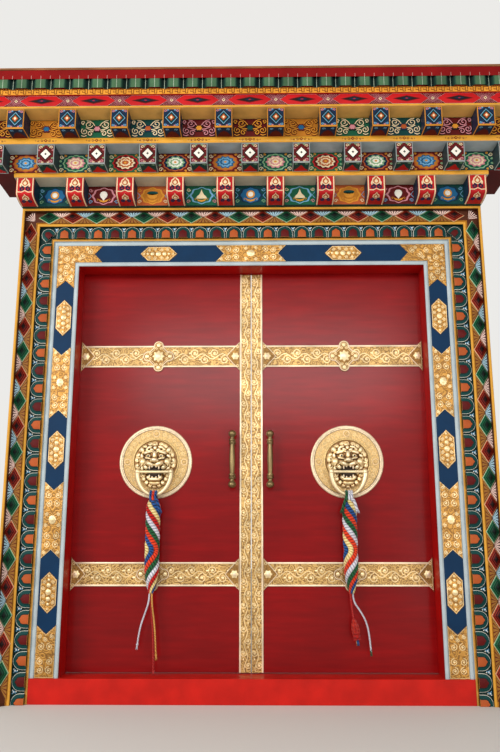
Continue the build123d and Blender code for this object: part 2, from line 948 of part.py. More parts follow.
# Hinges. Each plate is bent up from one section: the plate, or the plate and its knuckle.
hinge_axis = Pos(half_rebate, hinge_axis_y)
pin_bore = hinge_axis * Circle(pin_radius + pin_clearance)


def stacked(height, layers):
    """Extrusions of (low, high, face) one on another about a height."""
    solids = [extrude(Pos(0, 0, height + low) * face, high - low) for low, high, face in layers]
    return solids[0] + solids[1:]


def plate_face(x, y, width, depth):
    return Pos(x, y) * Rectangle(width, depth, align=(Align.MIN, Align.MIN))


def hinge_frame_plate(height):
    """Jamb half of a hinge: the upper and the lower knuckle."""
    half = hinge_height / 2
    third = hinge_height / 6
    plate = plate_face(half_rebate, frame_back, hinge_plate, hinge_plate_thickness)
    with_knuckle = plate + hinge_axis * Circle(barrel_radius) - pin_bore
    beside_knuckle = plate - hinge_axis * Circle(barrel_radius + barrel_clearance)
    layers = [(-half, -third, with_knuckle), (-third, third, beside_knuckle), (third, half, with_knuckle)]
    return stacked(height, layers)


def hinge_leaf_plate(height):
    """Leaf half of a hinge: the middle knuckle, bent up from the edge of the plate."""
    half = hinge_height / 2
    third = hinge_height / 6 - knuckle_gap
    plate = plate_face(leaf_edge - hinge_plate, leaf_back, hinge_plate, hinge_plate_thickness)
    bend = 2 * hinge_plate_thickness
    web = plate_face(leaf_edge - bend, leaf_back, bend, hinge_axis_y - leaf_back)
    with_knuckle = plate + web + hinge_axis * Circle(barrel_radius) - pin_bore
    return stacked(height, [(-half, -third, plate), (-third, third, with_knuckle), (third, half, plate)])


def hinge_pin(height):
    half = hinge_height / 2
    foot = Pos(half_rebate, hinge_axis_y, height - half)
    shank = foot * Cylinder(pin_radius, hinge_height, align=(Align.CENTER, Align.CENTER, Align.MIN))
    top = Pos(half_rebate, hinge_axis_y, height + half)
    head = Cylinder(pin_head_radius, pin_head_height, align=(Align.CENTER, Align.CENTER, Align.MIN))
    return shank + top * head


# Tassels
def plait_outline(depth):
    """Radius of the plait at a depth below its shoulder."""
    from_end = plait_length - depth
    if depth < plait_shoulder:
        return plait_neck_radius + (plait_radius - plait_neck_radius) * sin(pi / 2 * depth / plait_shoulder)
    if from_end < plait_taper:
        return plait_end_radius + (plait_radius - plait_end_radius) * sin(pi / 2 * from_end / plait_taper)
    return plait_radius


def plait_turn(depth):
    """The ropes wind one way, and back the other way below the reversal."""
    wound = depth if depth < plait_reversal else 2 * plait_reversal - depth
    return 360 * wound / plait_turn_pitch


def plait_section(depth, top):
    peak = plait_outline(depth)
    valley = peak * plait_valley / plait_radius
    step = 2 * pi / plait_strands
    turn = radians(plait_turn(depth))
    arcs = []
    for strand in range(plait_strands):
        start = turn + strand * step
        points = [
            (valley * cos(start), valley * sin(start)),
            (peak * cos(start + step / 2), peak * sin(start + step / 2)),
            (valley * cos(start + step), valley * sin(start + step)),
        ]
        arcs.append(ThreePointArc(*points))
    return Pos(0, 0, top - depth) * make_face(arcs)


def plait():
    """Five ropes wound round one another under the eye that loops over the ring."""
    axis = ring_axis() * Pos(0, 0, -ring_drop)
    top = -eye_outer_radius
    depths = [plait_length * number / (plait_sections - 1) for number in range(plait_sections)]
    ropes = loft([plait_section(depth, top) for depth in depths], ruled=True)
    eye_section = Circle(eye_outer_radius) - Circle(eye_inner_radius)
    eye_loop = extrude(Plane.YZ * eye_section, eye_width / 2, both=True)
    neck = Pos(0, 0, top) * Cylinder(plait_neck_radius - joint_gap, eye_outer_radius - eye_inner_radius)
    return axis * (ropes + [eye_loop, neck])


def end_plane(points):
    """Plane across the last end of a tail, facing onwards."""
    last = Vector(*points[-1])
    return Plane(origin=last, z_dir=last - Vector(*points[-2]))


def tail(points):
    """A plain round tail through the points, its corners rounded."""
    lengths = []
    for first, second in zip(points, points[1:]):
        lengths.append((Vector(*second) - Vector(*first)).length)
    radii = []
    for number in range(1, len(points) - 1):
        before = Vector(*points[number]) - Vector(*points[number - 1])
        after = Vector(*points[number + 1]) - Vector(*points[number])
        half_turn = radians(before.get_angle(after)) / 2
        shorter = min(lengths[number - 1], lengths[number])
        radii.append(tail_arc_share * shorter * cos(half_turn) / sin(half_turn))
    print("tail radii", [round(radius, 1) for radius in radii])
    path = FilletPolyline(*points, radius=radii)
    section = Plane(origin=path @ 0, z_dir=path % 0) * Circle(tail_radius)
    tube = sweep(section, path=path)
    share = tube.volume / (pi * tail_radius**2 * path.length)
    print("tail length", round(path.length, 1), "volume share", round(share, 4))
    return tube


# Route of each tail, from its exit at the foot of the plait: X, Y, Z
tails_left = {
    "tail_white_left": [(-566, 90, 560), (-566, 90, 518), (-590, 88, 446), (-615, 86, 372), (-626, 88, 284)],
    "tail_yellow_left": [(-552, 87, 560), (-552, 87, 512), (-538, 85, 430), (-526, 83, 330), (-521, 87, 230)],
    "tail_red_left": [
        (-558, 101, 560),
        (-558, 101, 510),
        (-549, 97, 424),
        (-540, 91, 330),
        (-536, 90, 238),
        (-534, 91, 146),
    ],
}
tails_right = {
    "tail_red_right": [(551, 90, 560), (551, 90, 510), (564, 87, 424)],
    "tail_white_right": [
        (565, 95, 560),
        (565, 95, 518),
        (600, 90, 470),
        (634, 87, 410),
        (649, 85, 330),
        (654, 88, 250),
    ],
}


def tail_ends_right():
    """Skirted tassel with its dark end under the red tail, and the tip of the white one."""
    skirt = outline(
        (0, 0),
        (skirt_top_radius, 0),
        (skirt_radius, skirt_shoulder),
        (skirt_radius, skirt_length),
        (0, skirt_length),
    )
    bell = revolve(Plane.XZ * skirt, Axis.Z)
    low = (Align.CENTER, Align.CENTER, Align.MIN)
    end = Pos(0, 0, skirt_length) * Cylinder(skirt_end_radius, skirt_end_length, align=low)
    tip = Cylinder(tip_radius, tip_length, align=low)
    red_end = end_plane(tails_right["tail_red_right"])
    white_end = end_plane(tails_right["tail_white_right"])
    return Compound([red_end * (bell + end), white_end * tip])


nodes = {}


def add_pair(name, shape):
    """Store the right-hand piece and its mirror image."""
    nodes[name + "_right"] = shape
    nodes[name + "_left"] = mirrored(shape)


nodes["threshold"] = threshold()
add_pair("jamb", jamb())
nodes["head_beam"] = head_beam()
add_pair("casing", mitre_leg(leg_timber(casing_section(), casing_width, threshold_height), threshold_height))
nodes["casing_head"] = mitre_head(head_timber(casing_section(), casing_width))
add_pair("lotus_timber", lotus_leg())
nodes["lotus_timber_head"] = lotus_head()
add_pair("pyramid_timber", pyramid_leg())
nodes["pyramid_timber_head"] = pyramid_head()
add_pair("casing_plates", casing_plates_side())
nodes["casing_plates_head"] = casing_plates_head()
for number in range(len(block_widths)):
    nodes[f"course_{number + 1}"] = course(number)
    nodes[f"beam_ends_{number + 1}"] = beam_ends(number)
    nodes[f"shelf_{number + 1}"] = shelf(number)
nodes["fascia"] = fascia()
nodes["valance"] = valance()
nodes["cornice_cap"] = cornice_cap()
nodes["cornice_back"] = cornice_back()
nodes["cornice_ends"] = cornice_ends()

frame_plates = [hinge_frame_plate(height) for height in hinge_heights]
pins = [hinge_pin(height) for height in hinge_heights]
nodes["hinge_frame_plates"] = Compound(frame_plates + [mirrored(plate) for plate in frame_plates])
nodes["hinge_pins"] = Compound(pins + [mirrored(pin) for pin in pins])

add_pair("leaf_panel", leaf_panel())
add_pair("leaf_ledges", ledges())
add_pair("straps", Compound([strap(height) for height in strap_heights]))
add_pair("strap_ornaments", strap_ornaments())
add_pair("meeting_strip", meeting_strip())
add_pair("pull_handle", pull_handle())
plate = knocker_plate()
mask = lion_mask()
ring = knocker_ring()
for side, x in (("right", knocker_centre), ("left", -knocker_centre)):
    nodes[f"knocker_plate_{side}"] = Pos(x, 0, 0) * plate
    nodes[f"lion_mask_{side}"] = Pos(x, 0, 0) * mask
    nodes[f"knocker_ring_{side}"] = Pos(x, 0, 0) * ring
add_pair("hinge_leaf_plates", Compound([hinge_leaf_plate(height) for height in hinge_heights]))
add_pair("plait", Pos(knocker_centre, 0, 0) * plait())
for name, points in (tails_left | tails_right).items():
    nodes[name] = tail(points)
nodes["tail_ends_right"] = tail_ends_right()

os.makedirs("parts", exist_ok=True)
for name, shape in nodes.items():
    export_step(shape, f"parts/{name}.step")
print(len(nodes), "nodes")
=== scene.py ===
# %% [markdown]
# # A carved and painted temple door
# This lesson dresses a finished door model: two lacquered leaves with gilt mounts, lion-head
# knockers and plaited cord tassels, in a carved surround under a cornice of beam ends. The
# solids come from the CAD model as a fixed frame. Here they get their finishes, and whatever is
# too fine, too soft or too richly carved for a solid is modelled over them.

# %% Load the frame
from math import cos, hypot, pi, radians, sin, sqrt

import bpy
from mathutils import Matrix, Vector


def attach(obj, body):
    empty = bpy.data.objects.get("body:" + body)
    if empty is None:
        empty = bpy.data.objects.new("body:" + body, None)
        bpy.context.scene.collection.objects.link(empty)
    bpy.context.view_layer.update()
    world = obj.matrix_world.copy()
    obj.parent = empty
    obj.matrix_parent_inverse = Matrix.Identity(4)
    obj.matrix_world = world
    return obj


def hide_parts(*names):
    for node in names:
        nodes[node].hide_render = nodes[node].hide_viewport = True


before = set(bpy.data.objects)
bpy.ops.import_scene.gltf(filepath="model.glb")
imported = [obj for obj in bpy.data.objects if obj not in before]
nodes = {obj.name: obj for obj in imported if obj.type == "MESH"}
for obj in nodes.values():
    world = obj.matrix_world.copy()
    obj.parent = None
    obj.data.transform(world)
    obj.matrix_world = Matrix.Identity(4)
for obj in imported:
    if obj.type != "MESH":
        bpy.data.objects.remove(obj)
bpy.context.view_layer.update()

# %% [markdown]
# ## Places on the door
# The frame is in metres, with X 0 at the middle of the doorway and Z 0 on the floor, and the
# visitor looks along +Y. The values here are used again and again: the opening, the heights of
# straps and knockers, and the Y and Z of each tier's fronts, undersides and friezes.

# %% The places
half_opening, lintel, surround = 1.030, 2.453, 0.336
strap_heights = (0.660, 1.930)
ornament_y, edge_y, scroll_y = 0.142, 0.1452, 0.1475
strip_middle = 1.291
knocker_x, knocker_z, plate_radius = 0.558, 1.295, 0.212
ring_y, mouth_z = 0.092, 1.233
beam_pitch = 0.292
fronts = {1: (-0.224, 2.8685), 2: (-0.343, 3.0015), 3: (-0.463, 3.153)}
undersides = {1: (-0.1905, 2.7985), 2: (-0.2875, 2.942), 3: (-0.407, 3.096)}
friezes = {1: (-0.112, 2.852), 2: (-0.232, 3.0015), 3: (-0.351, 3.153)}
sides = (("left", -1), ("right", 1))


def row(count):
    """X of each place in a row of that many, centred on the doorway."""
    return [(n - (count - 1) / 2) * beam_pitch for n in range(count)]


# %% [markdown]
# ## Colours and nodes
# Colours are written as on a screen, in sRGB hex, but the renderer works in linear light, so
# one function turns them. Small functions add a node with its settings and links, one step of
# maths or one blend, which keeps a long material readable.


# %% Small helpers for materials
def colour(code):
    """Linear RGBA from an sRGB hex code."""
    parts = [int(code[i : i + 2], 16) / 255 for i in (0, 2, 4)]
    linear = [p / 12.92 if p <= 0.04045 else ((p + 0.055) / 1.055) ** 2.4 for p in parts]
    return (*linear, 1.0)


def add(tree, kind, inputs=None, **settings):
    """Add a node; an input given as a socket is linked, any other value is set."""
    node = tree.nodes.new(kind)
    for key, value in settings.items():
        setattr(node, key, value)
    for key, value in (inputs or {}).items():
        if isinstance(value, bpy.types.NodeSocket):
            tree.links.new(value, node.inputs[key])
        else:
            node.inputs[key].default_value = value
    return node


def maths(tree, operation, *values):
    """The result of one maths node; each value is a number or a socket."""
    return add(tree, "ShaderNodeMath", dict(enumerate(values)), operation=operation).outputs[0]


def blend(tree, factor, first, second, kind="MIX"):
    """Two colours mixed by a factor."""
    inputs = {"Factor": factor, 6: first, 7: second}
    return add(tree, "ShaderNodeMix", inputs, data_type="RGBA", blend_type=kind).outputs[2]


def own_place(tree):
    """Where a point lies in its piece's own space."""
    return add(tree, "ShaderNodeTexCoord").outputs["Object"]


def bumped(tree, shader, height, strength, distance):
    """Let a height show in the way that the surface catches light."""
    lift = add(tree, "ShaderNodeBump", {"Height": height, "Strength": strength, "Distance": distance})
    tree.links.new(lift.outputs[0], shader.inputs["Normal"])
    return lift.outputs[0]


def material(name, roughness, metallic=0.0, coat=0.0):
    """A named material with its shader; the caller links colour and bump."""
    made = bpy.data.materials.new(name)
    made.use_nodes = True
    tree = made.node_tree
    tree.nodes.clear()
    shine = 0.5 if metallic else 0.12
    settings = {"Roughness": roughness, "Metallic": metallic, "Coat Weight": coat}
    shader = add(tree, "ShaderNodeBsdfPrincipled", {**settings, "Specular IOR Level": shine})
    add(tree, "ShaderNodeOutputMaterial", {"Surface": shader.outputs[0]})
    return made, tree, shader


def ramp(tree, factor, stops, steps=False):
    """A colour ramp from (position, hex) stops, smooth or in flat steps."""
    node = add(tree, "ShaderNodeValToRGB", {"Fac": factor})
    band = node.color_ramp
    band.interpolation = "CONSTANT" if steps else "LINEAR"
    while len(band.elements) < len(stops):
        band.elements.new(1.0)
    for element, (position, code) in zip(band.elements, stops):
        element.position = position
        element.color = colour(code)
    return node.outputs["Color"]


def mottled(tree, shader, base, shade=0.16):
    """Give the shader a colour, clouded a little as dirt and wear do."""
    cloud = add(tree, "ShaderNodeTexNoise", {"Vector": own_place(tree), "Scale": 9.0, "Detail": 5.0})
    spread = {"From Min": 0.35, "From Max": 0.7, "To Min": 1.0 - shade, "To Max": 1.0 + shade / 2}
    dirt = add(tree, "ShaderNodeMapRange", {"Value": cloud.outputs["Fac"], **spread})
    tree.links.new(blend(tree, 1.0, base, dirt.outputs[0], "MULTIPLY"), shader.inputs["Base Color"])


def brushed(tree, shader, grain_mm=3.0, strength=0.15):
    """Give the surface brush marks of a real size."""
    marks = {"Vector": own_place(tree), "Scale": 1000 / grain_mm / 3, "Detail": 2.0}
    brush = add(tree, "ShaderNodeTexNoise", marks)
    bumped(tree, shader, brush.outputs["Fac"], strength, 0.001)


def aged(tree, shader, base, grain_mm=3.0, bump=0.15, shade=0.16):
    """A mottled colour with brush marks."""
    mottled(tree, shader, base, shade)
    brushed(tree, shader, grain_mm, bump)


# %% [markdown]
# ## Mineral paint
# The ornament is painted in thick mineral colours bound in glue and varnished thinly. Such
# paint is nearly matt, slightly cloudy, and shows the brush. All the plain colours are made
# from one recipe.


# %% Plain paints
def mineral_paint(name, code, roughness=0.55, coat=0.0):
    made, tree, shader = material("mineral_paint_" + name, roughness, coat=coat)
    aged(tree, shader, colour(code))
    return made


paints = {
    name: mineral_paint(name, code)
    for name, code in {
        "white": "E6E0D2",
        "cream": "E2CDA4",
        "gold": "D08A2C",
        "ochre": "B4701F",
        "orange": "AC5226",
        "red": "B3171A",
        "maroon": "57100F",
        "pink": "C9838A",
        "teal": "0A3C3A",
        "green": "14553A",
        "leaf": "7FA77C",
        "sky": "6E9FC0",
        "blue": "1B5C86",
        "navy": "0A2540",
        "black": "14110F",
        "grey": "9BA3A1",
        "brown": "6B3A22",
    }.items()
}
print("paints:", len(paints))

# %% [markdown]
# ## Gilt sheet
# The straps, strips and casing plates are thin brass sheet, embossed over a pattern block and
# gilt. Light catches the raised scrolls and the dirt of years stays in the hollows, so colour
# and height follow the same pattern of curling cells, from 14 to 30 mm across.


# %% Embossed and plain gilding
def gilt_sheet(name, cell_mm, bright="C39C5C", deep="7E5A2A"):
    made, tree, shader = material("gilt_" + name, 0.4, metallic=0.5)
    place = own_place(tree)
    swirl = add(tree, "ShaderNodeTexNoise", {"Vector": place, "Scale": 600 / cell_mm, "Detail": 1.0})
    warp_inputs = {"Factor": 0.035, 4: place, 5: swirl.outputs["Color"]}
    warp = add(tree, "ShaderNodeMix", warp_inputs, data_type="VECTOR")
    cell_inputs = {"Vector": warp.outputs[1], "Scale": 1000 / cell_mm}
    cells = add(tree, "ShaderNodeTexVoronoi", cell_inputs, feature="F1")
    wave = maths(tree, "SINE", maths(tree, "MULTIPLY", cells.outputs["Distance"], 17.0))
    level = add(tree, "ShaderNodeMapRange", {"Value": wave, "From Min": -0.8, "From Max": 0.8}).outputs[0]
    mottled(tree, shader, ramp(tree, level, [(0.0, deep), (0.5, bright), (1.0, bright)]), shade=0.22)
    bumped(tree, shader, level, 0.8, 0.0009)
    return made


def cast_metal(name, code, roughness, metallic=0.9):
    made, tree, shader = material(name, roughness, metallic=metallic)
    aged(tree, shader, colour(code), grain_mm=2.0, bump=0.3, shade=0.3)
    return made


embossed = gilt_sheet("embossed_sheet", 26.0)
ornament_gilt = gilt_sheet("strap_ornament", 14.0, bright="A67A38", deep="6E4A1C")
casing_gilt = gilt_sheet("casing_plate", 30.0, bright="B98538", deep="865C25")
smooth_gilt = cast_metal("gilt_smooth_brass", "F0D6A2", 0.36, metallic=0.45)
pale_gilt = cast_metal("gilt_pale_edge", "EFD9B8", 0.42, metallic=0.35)
bronze = cast_metal("antique_bronze", "7E6A46", 0.36, metallic=0.8)
ring_brass = cast_metal("worn_cast_brass", "D9BF94", 0.38, metallic=0.6)
iron = cast_metal("blackened_iron", "2A2725", 0.55)


def plate_gilding():
    """Chased brass round the knocker: a pale rim, a dark line, pale scrolls, and brown inside."""
    made, tree, shader = material("gilt_chased_plate", 0.4, metallic=0.4)
    brushed(tree, shader)
    place = own_place(tree)
    split = add(tree, "ShaderNodeSeparateXYZ", {"Vector": place})
    along = maths(tree, "SUBTRACT", maths(tree, "ABSOLUTE", split.outputs["X"]), knocker_x)
    above = maths(tree, "SUBTRACT", split.outputs["Z"], knocker_z)
    flat = add(tree, "ShaderNodeCombineXYZ", {"X": along, "Y": above})
    reach = add(tree, "ShaderNodeVectorMath", {0: flat.outputs[0]}, operation="LENGTH")
    share = maths(tree, "DIVIDE", reach.outputs["Value"], plate_radius)
    bands = [
        (0.0, "7A4A18"),
        (0.56, "9C6F30"),
        (0.59, "DDBB7C"),
        (0.665, "CDA768"),
        (0.885, "5E3F20"),
        (0.905, "EBD3AE"),
    ]
    tone = ramp(tree, share, bands, steps=True)
    cells = add(tree, "ShaderNodeTexVoronoi", {"Vector": place, "Scale": 90.0}, feature="DISTANCE_TO_EDGE")
    line = add(
        tree, "ShaderNodeMapRange", {"Value": cells.outputs["Distance"], "From Max": 0.2, "To Min": 0.5}
    )
    chased = blend(tree, 1.0, tone, line.outputs[0], "MULTIPLY")
    tree.links.new(chased, shader.inputs["Base Color"])
    return made


plate_gilt = plate_gilding()

# %% [markdown]
# ## Lacquer and timber
# The leaves are boards covered with cloth and gesso and finished in crimson lacquer: a deep
# colour under a glossy coat, with faint streaks where the brush ran along. Where nothing is
# painted, as on the back of the cornice, the timber stays plain.


# %% Lacquer, red frame paint and bare wood
def lacquer():
    made, tree, shader = material("crimson_lacquer", 0.5, coat=0.26)
    place = own_place(tree)
    along = add(tree, "ShaderNodeMapping", {"Vector": place, "Scale": (1.0, 1.0, 9.0)})
    streak = add(tree, "ShaderNodeTexNoise", {"Vector": along.outputs[0], "Scale": 4.0, "Detail": 6.0})
    cloud = add(tree, "ShaderNodeTexNoise", {"Vector": place, "Scale": 1.6, "Detail": 3.0})
    total = maths(tree, "ADD", streak.outputs["Fac"], cloud.outputs["Fac"])
    tone = ramp(
        tree, maths(tree, "MULTIPLY", total, 0.5), [(0.25, "680103"), (0.5, "7C0204"), (0.75, "920406")]
    )
    tree.links.new(tone, shader.inputs["Base Color"])
    lift = bumped(tree, shader, streak.outputs["Fac"], 0.12, 0.002)
    tree.links.new(lift, shader.inputs["Coat Normal"])
    shader.inputs["Specular IOR Level"].default_value = 0.05
    shader.inputs["Coat Roughness"].default_value = 0.2
    return made


def timber():
    made, tree, shader = material("plain_pine", 0.7)
    along = add(tree, "ShaderNodeMapping", {"Vector": own_place(tree), "Scale": (0.6, 9.0, 9.0)})
    grain = add(tree, "ShaderNodeTexNoise", {"Vector": along.outputs[0], "Scale": 12.0, "Detail": 6.0})
    tone = ramp(tree, grain.outputs["Fac"], [(0.3, "6A452A"), (0.55, "8A5F3C"), (0.75, "A2764D")])
    aged(tree, shader, tone)
    return made


crimson = lacquer()
pine = timber()
frame_red = mineral_paint("frame_vermilion", "A80D09", roughness=0.45, coat=0.15)
threshold_red = mineral_paint("threshold_red", "BC1A10", roughness=0.5, coat=0.1)

# %% [markdown]
# ## The surround in one material
# Casing, lotus row and pyramid row run round the opening as parallel bands. How far a point
# lies from the opening, the larger of its distances past the side and past the top, tells
# which band it is on. One ramp in flat steps then paints every moulding, mitres included.


# %% Bands of the surround
def banded_paint():
    made, tree, shader = material("mineral_paint_surround_bands", 0.5)
    split = add(tree, "ShaderNodeSeparateXYZ", {"Vector": own_place(tree)})
    side = maths(tree, "SUBTRACT", maths(tree, "ABSOLUTE", split.outputs["X"]), half_opening)
    above = maths(tree, "SUBTRACT", split.outputs["Z"], lintel)
    share = maths(tree, "DIVIDE", maths(tree, "MAXIMUM", side, above), surround)
    bands = [
        (0.0, "AEB9BC"),
        (22.5, "022A4A"),
        (129.5, "AEB9BC"),
        (154.0, "C6923F"),
        (167.0, "082623"),
        (238.0, "CF9638"),
        (258.0, "4C2413"),
        (320.0, "CF9638"),
    ]
    tone = ramp(tree, share, [(mm / 1000 / surround, code) for mm, code in bands], steps=True)
    back = maths(tree, "GREATER_THAN", split.outputs["Y"], 0.001)
    aged(tree, shader, blend(tree, back, tone, colour("8E1A14")), shade=0.12)
    return made


surround_paint = banded_paint()

# %% [markdown]
# ## Cornice boards
# Each shelf has a gold front edge and a coloured soffit. Which of the two a point shows
# follows from the direction its surface faces, read in the piece's own space. The soffit
# colours are the soffits' own paint made lighter, painted light standing in for the light
# thrown up from the ground.


# %% Shelves, courses and beam ends
def two_faced(name, edge_code, under_code, axis, limit):
    """One colour, and another where the surface faces a given way."""
    made, tree, shader = material("mineral_paint_" + name, 0.5, coat=0.15)
    facing_way = add(tree, "ShaderNodeTexCoord").outputs["Normal"]
    split = add(tree, "ShaderNodeSeparateXYZ", {"Vector": facing_way})
    turned = maths(tree, "GREATER_THAN", maths(tree, "ABSOLUTE", split.outputs[axis]), limit)
    aged(tree, shader, blend(tree, turned, colour(edge_code), colour(under_code)))
    return made


def dress(finish, *names):
    """Give CAD nodes a finish."""
    for name in names:
        data = nodes[name].data
        data.materials.clear()
        data.materials.append(finish)


def both(stem):
    """The names of a pair of nodes."""
    return (stem + "_left", stem + "_right")


# The soffit colours carry painted light: each soffit's paint is made lighter, as if lit from below.
dress(two_faced("shelf_1", "D0942F", "C6BDA4", "Z", 0.8), "shelf_1")
dress(two_faced("shelf_2", "D0942F", "A3B3B9", "Z", 0.8), "shelf_2")
dress(two_faced("shelf_3", "D0942F", "E2AE5C", "Z", 0.8), "shelf_3")
dress(two_faced("beam_1", "B01719", "142A3C", "X", 0.7), "beam_ends_1")
dress(two_faced("beam_2", "94A09C", "27373C", "X", 0.7), "beam_ends_2")
dress(two_faced("beam_3", "C48A33", "15233C", "X", 0.7), "beam_ends_3")
dress(paints["teal"], "course_1")
dress(paints["maroon"], "course_2")
dress(paints["green"], "course_3")
dress(paints["red"], "fascia")
dress(pine, "cornice_cap", "cornice_back", "cornice_ends")
dress(threshold_red, "threshold")
dress(frame_red, *both("jamb"), "head_beam")
dress(surround_paint, *both("casing"), "casing_head", *both("lotus_timber"), "lotus_timber_head")
dress(surround_paint, *both("pyramid_timber"), "pyramid_timber_head")
dress(casing_gilt, *both("casing_plates"), "casing_plates_head")
dress(crimson, *both("leaf_panel"), *both("leaf_ledges"))
dress(embossed, *both("straps"), *both("meeting_strip"))
dress(ornament_gilt, *both("strap_ornaments"))
dress(bronze, *both("pull_handle"))
dress(plate_gilt, *both("knocker_plate"), *both("lion_mask"))
dress(ring_brass, *both("knocker_ring"))
dress(iron, "hinge_frame_plates", "hinge_pins", *both("hinge_leaf_plates"))
dress(paints["white"], *both("tail_white"))
dress(paints["orange"], "tail_yellow_left", *both("plait"))
dress(paints["red"], *both("tail_red"), "tail_ends_right", "valance")

# %% [markdown]
# ## Drawing relief
# Carved and gessoed ornament is built from two kinds of shape: a raised outline, drawn flat,
# extruded and softened at its shoulder, and a raised line, like a piped gesso thread. Both are
# drawn flat in millimetres, X to the right, Y up and Z out of the surface, then placed.


# %% Raised outlines and raised lines
def select_only(*pieces):
    """Select pieces and nothing else; the first of them is active."""
    bpy.ops.object.select_all(action="DESELECT")
    for piece in pieces:
        piece.select_set(True)
    if pieces:
        bpy.context.view_layer.objects.active = pieces[0]


def raised(outline, low, high, finish, soft=0.0):
    """A closed raised shape with an optional sloping shoulder, soft mm wide."""
    select_only()
    bpy.ops.mesh.primitive_circle_add(vertices=len(outline), fill_type="NGON")
    shape = bpy.context.object
    for vertex, (x, y) in zip(shape.data.vertices, outline):
        vertex.co = (x / 1000, y / 1000, low / 1000)
    bpy.ops.object.mode_set(mode="EDIT")
    bpy.ops.mesh.select_all(action="SELECT")
    rise = (high - low) / 1000
    bpy.ops.mesh.extrude_region_move(TRANSFORM_OT_translate={"value": (0, 0, rise)})
    if soft:
        bpy.ops.mesh.inset(thickness=soft / 1000)
        bpy.ops.transform.translate(value=(0, 0, soft / 2000))
    bpy.ops.mesh.select_all(action="SELECT")
    bpy.ops.mesh.normals_make_consistent(inside=False)
    bpy.ops.object.mode_set(mode="OBJECT")
    shape.data.materials.append(finish)
    return shape


def thread(points, radius, finish, closed=False, sides=1):
    """A raised line through points (x, y[, z]), made a mesh."""
    curve = bpy.data.curves.new("thread", "CURVE")
    curve.dimensions = "3D"
    curve.bevel_depth = radius / 1000
    curve.bevel_resolution = sides
    curve.use_fill_caps = True
    spline = curve.splines.new("POLY")
    spline.points.add(len(points) - 1)
    for point, place in zip(spline.points, points):
        x, y, z = (*place, 0.0)[:3]
        point.co = (x / 1000, y / 1000, z / 1000, 1)
    spline.use_cyclic_u = closed
    made = bpy.data.objects.new("thread", curve)
    bpy.context.collection.objects.link(made)
    curve.materials.append(finish)
    select_only(made)
    bpy.ops.object.convert(target="MESH")
    return bpy.context.object


def modified(piece, kind, **settings):
    """Add a modifier to a piece and apply it."""
    change = piece.modifiers.new(kind.lower(), kind)
    for key, value in settings.items():
        setattr(change, key, value)
    select_only(piece)
    bpy.ops.object.modifier_apply(modifier=change.name)


def joined(shapes, name="drawing"):
    select_only(*shapes)
    if len(shapes) > 1:
        bpy.ops.object.join()
    made = shapes[0]
    made.name = name
    made.data.name = name
    return made


def repeated(drawing, places, keep=False):
    """Copies of one drawing, each with its own mesh, at the given placements."""
    copies = []
    for place in places:
        copy = drawing.copy()
        copy.data = drawing.data.copy()
        copy.data.transform(place)
        if place.is_negative:
            copy.data.flip_normals()
        bpy.context.collection.objects.link(copy)
        copies.append(copy)
    if not keep:
        bpy.data.objects.remove(drawing)
    return copies


def facing(x, y, z, turn=0.0):
    """Placement on a surface that faces the visitor."""
    upright = Matrix.Translation((x, y, z)) @ Matrix.Rotation(pi / 2, 4, "X")
    return upright @ Matrix.Rotation(radians(turn), 4, "Z")


def under(x, y, z, slope=0.0):
    """Placement on a surface that faces down, its front edge sloping up."""
    return Matrix.Translation((x, y, z)) @ Matrix.Rotation(pi - slope, 4, "X")


def circle(x, y, wide, high=None, count=16, lobes=0, hollow=0.0):
    """Points of a round or, with lobes, a scalloped outline."""
    high = high or wide
    points = []
    for i in range(count):
        turn = 2 * pi * i / count
        swell = 1 - hollow * (0.5 - 0.5 * cos(lobes * turn)) if lobes else 1
        points.append((x + wide * swell * cos(turn), y + high * swell * sin(turn)))
    return points


def spiral(x, y, outer, inner, start, turns, count=14):
    """Points of a curl that winds in from outer to inner radius."""
    points = []
    for i in range(count):
        share = i / (count - 1)
        radius = outer + (inner - outer) * share
        turn = radians(start) + 2 * pi * turns * share
        points.append((x + radius * cos(turn), y + radius * sin(turn)))
    return points


def rectangle(half_wide, half_high):
    """Corners of an upright rectangle round the middle."""
    return [
        (-half_wide, -half_high), (half_wide, -half_high),
        (half_wide, half_high), (-half_wide, half_high),
    ]


def mirror_points(points):
    return [(-p[0], *p[1:]) for p in points]


def set_down(piece, body, *replaced):
    """Smooth a finished piece, let it ride on its body and hide the parts it replaces."""
    select_only(piece)
    bpy.ops.object.shade_smooth_by_angle(angle=radians(35))
    if replaced:
        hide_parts(*replaced)
    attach(piece, body)
    print(piece.name, "triangles:", sum(len(p.vertices) - 2 for p in piece.data.polygons))


# %% [markdown]
# ## Lotus row
# A lotus moulding is a row of petals standing in a cove. Each petal is an arch with a white
# edge, a teal field, a second white edge and a domed tongue, orange and maroon in turn. One
# petal of each colour is modelled and then copied round the three sides.


# %% Lotus petals
def arch(half, side, count=12):
    """Outline with a straight root at X 0 and a round end towards +X."""
    points = [(0, -half)]
    for i in range(count + 1):
        turn = -pi / 2 + pi * i / count
        points.append((side + half * cos(turn), half * sin(turn)))
    return points + [(0, half)]


def tongue(half, side, count=18):
    """An arch whose round end is drawn up into three lobes."""
    points = [(0, -half)]
    for i in range(count + 1):
        turn = -pi / 2 + pi * i / count
        swell = 1 + 0.13 * cos(6 * turn) * cos(turn)
        points.append((side + half * swell * cos(turn), half * (0.96 + 0.04 * swell) * sin(turn)))
    return points + [(0, half)]


florets = [  # place, radius and foot in mm of the small flowers between two petals
    (60, 52, 7, 0, "sky"), (60, 52, 3.6, 1.5, "white"), (47, 50, 3, 0, "white"),
    (49, 56, 3, 0, "sky"), (66, 44, 3, 0, "white"), (66, 61, 3, 0, "sky"),
]


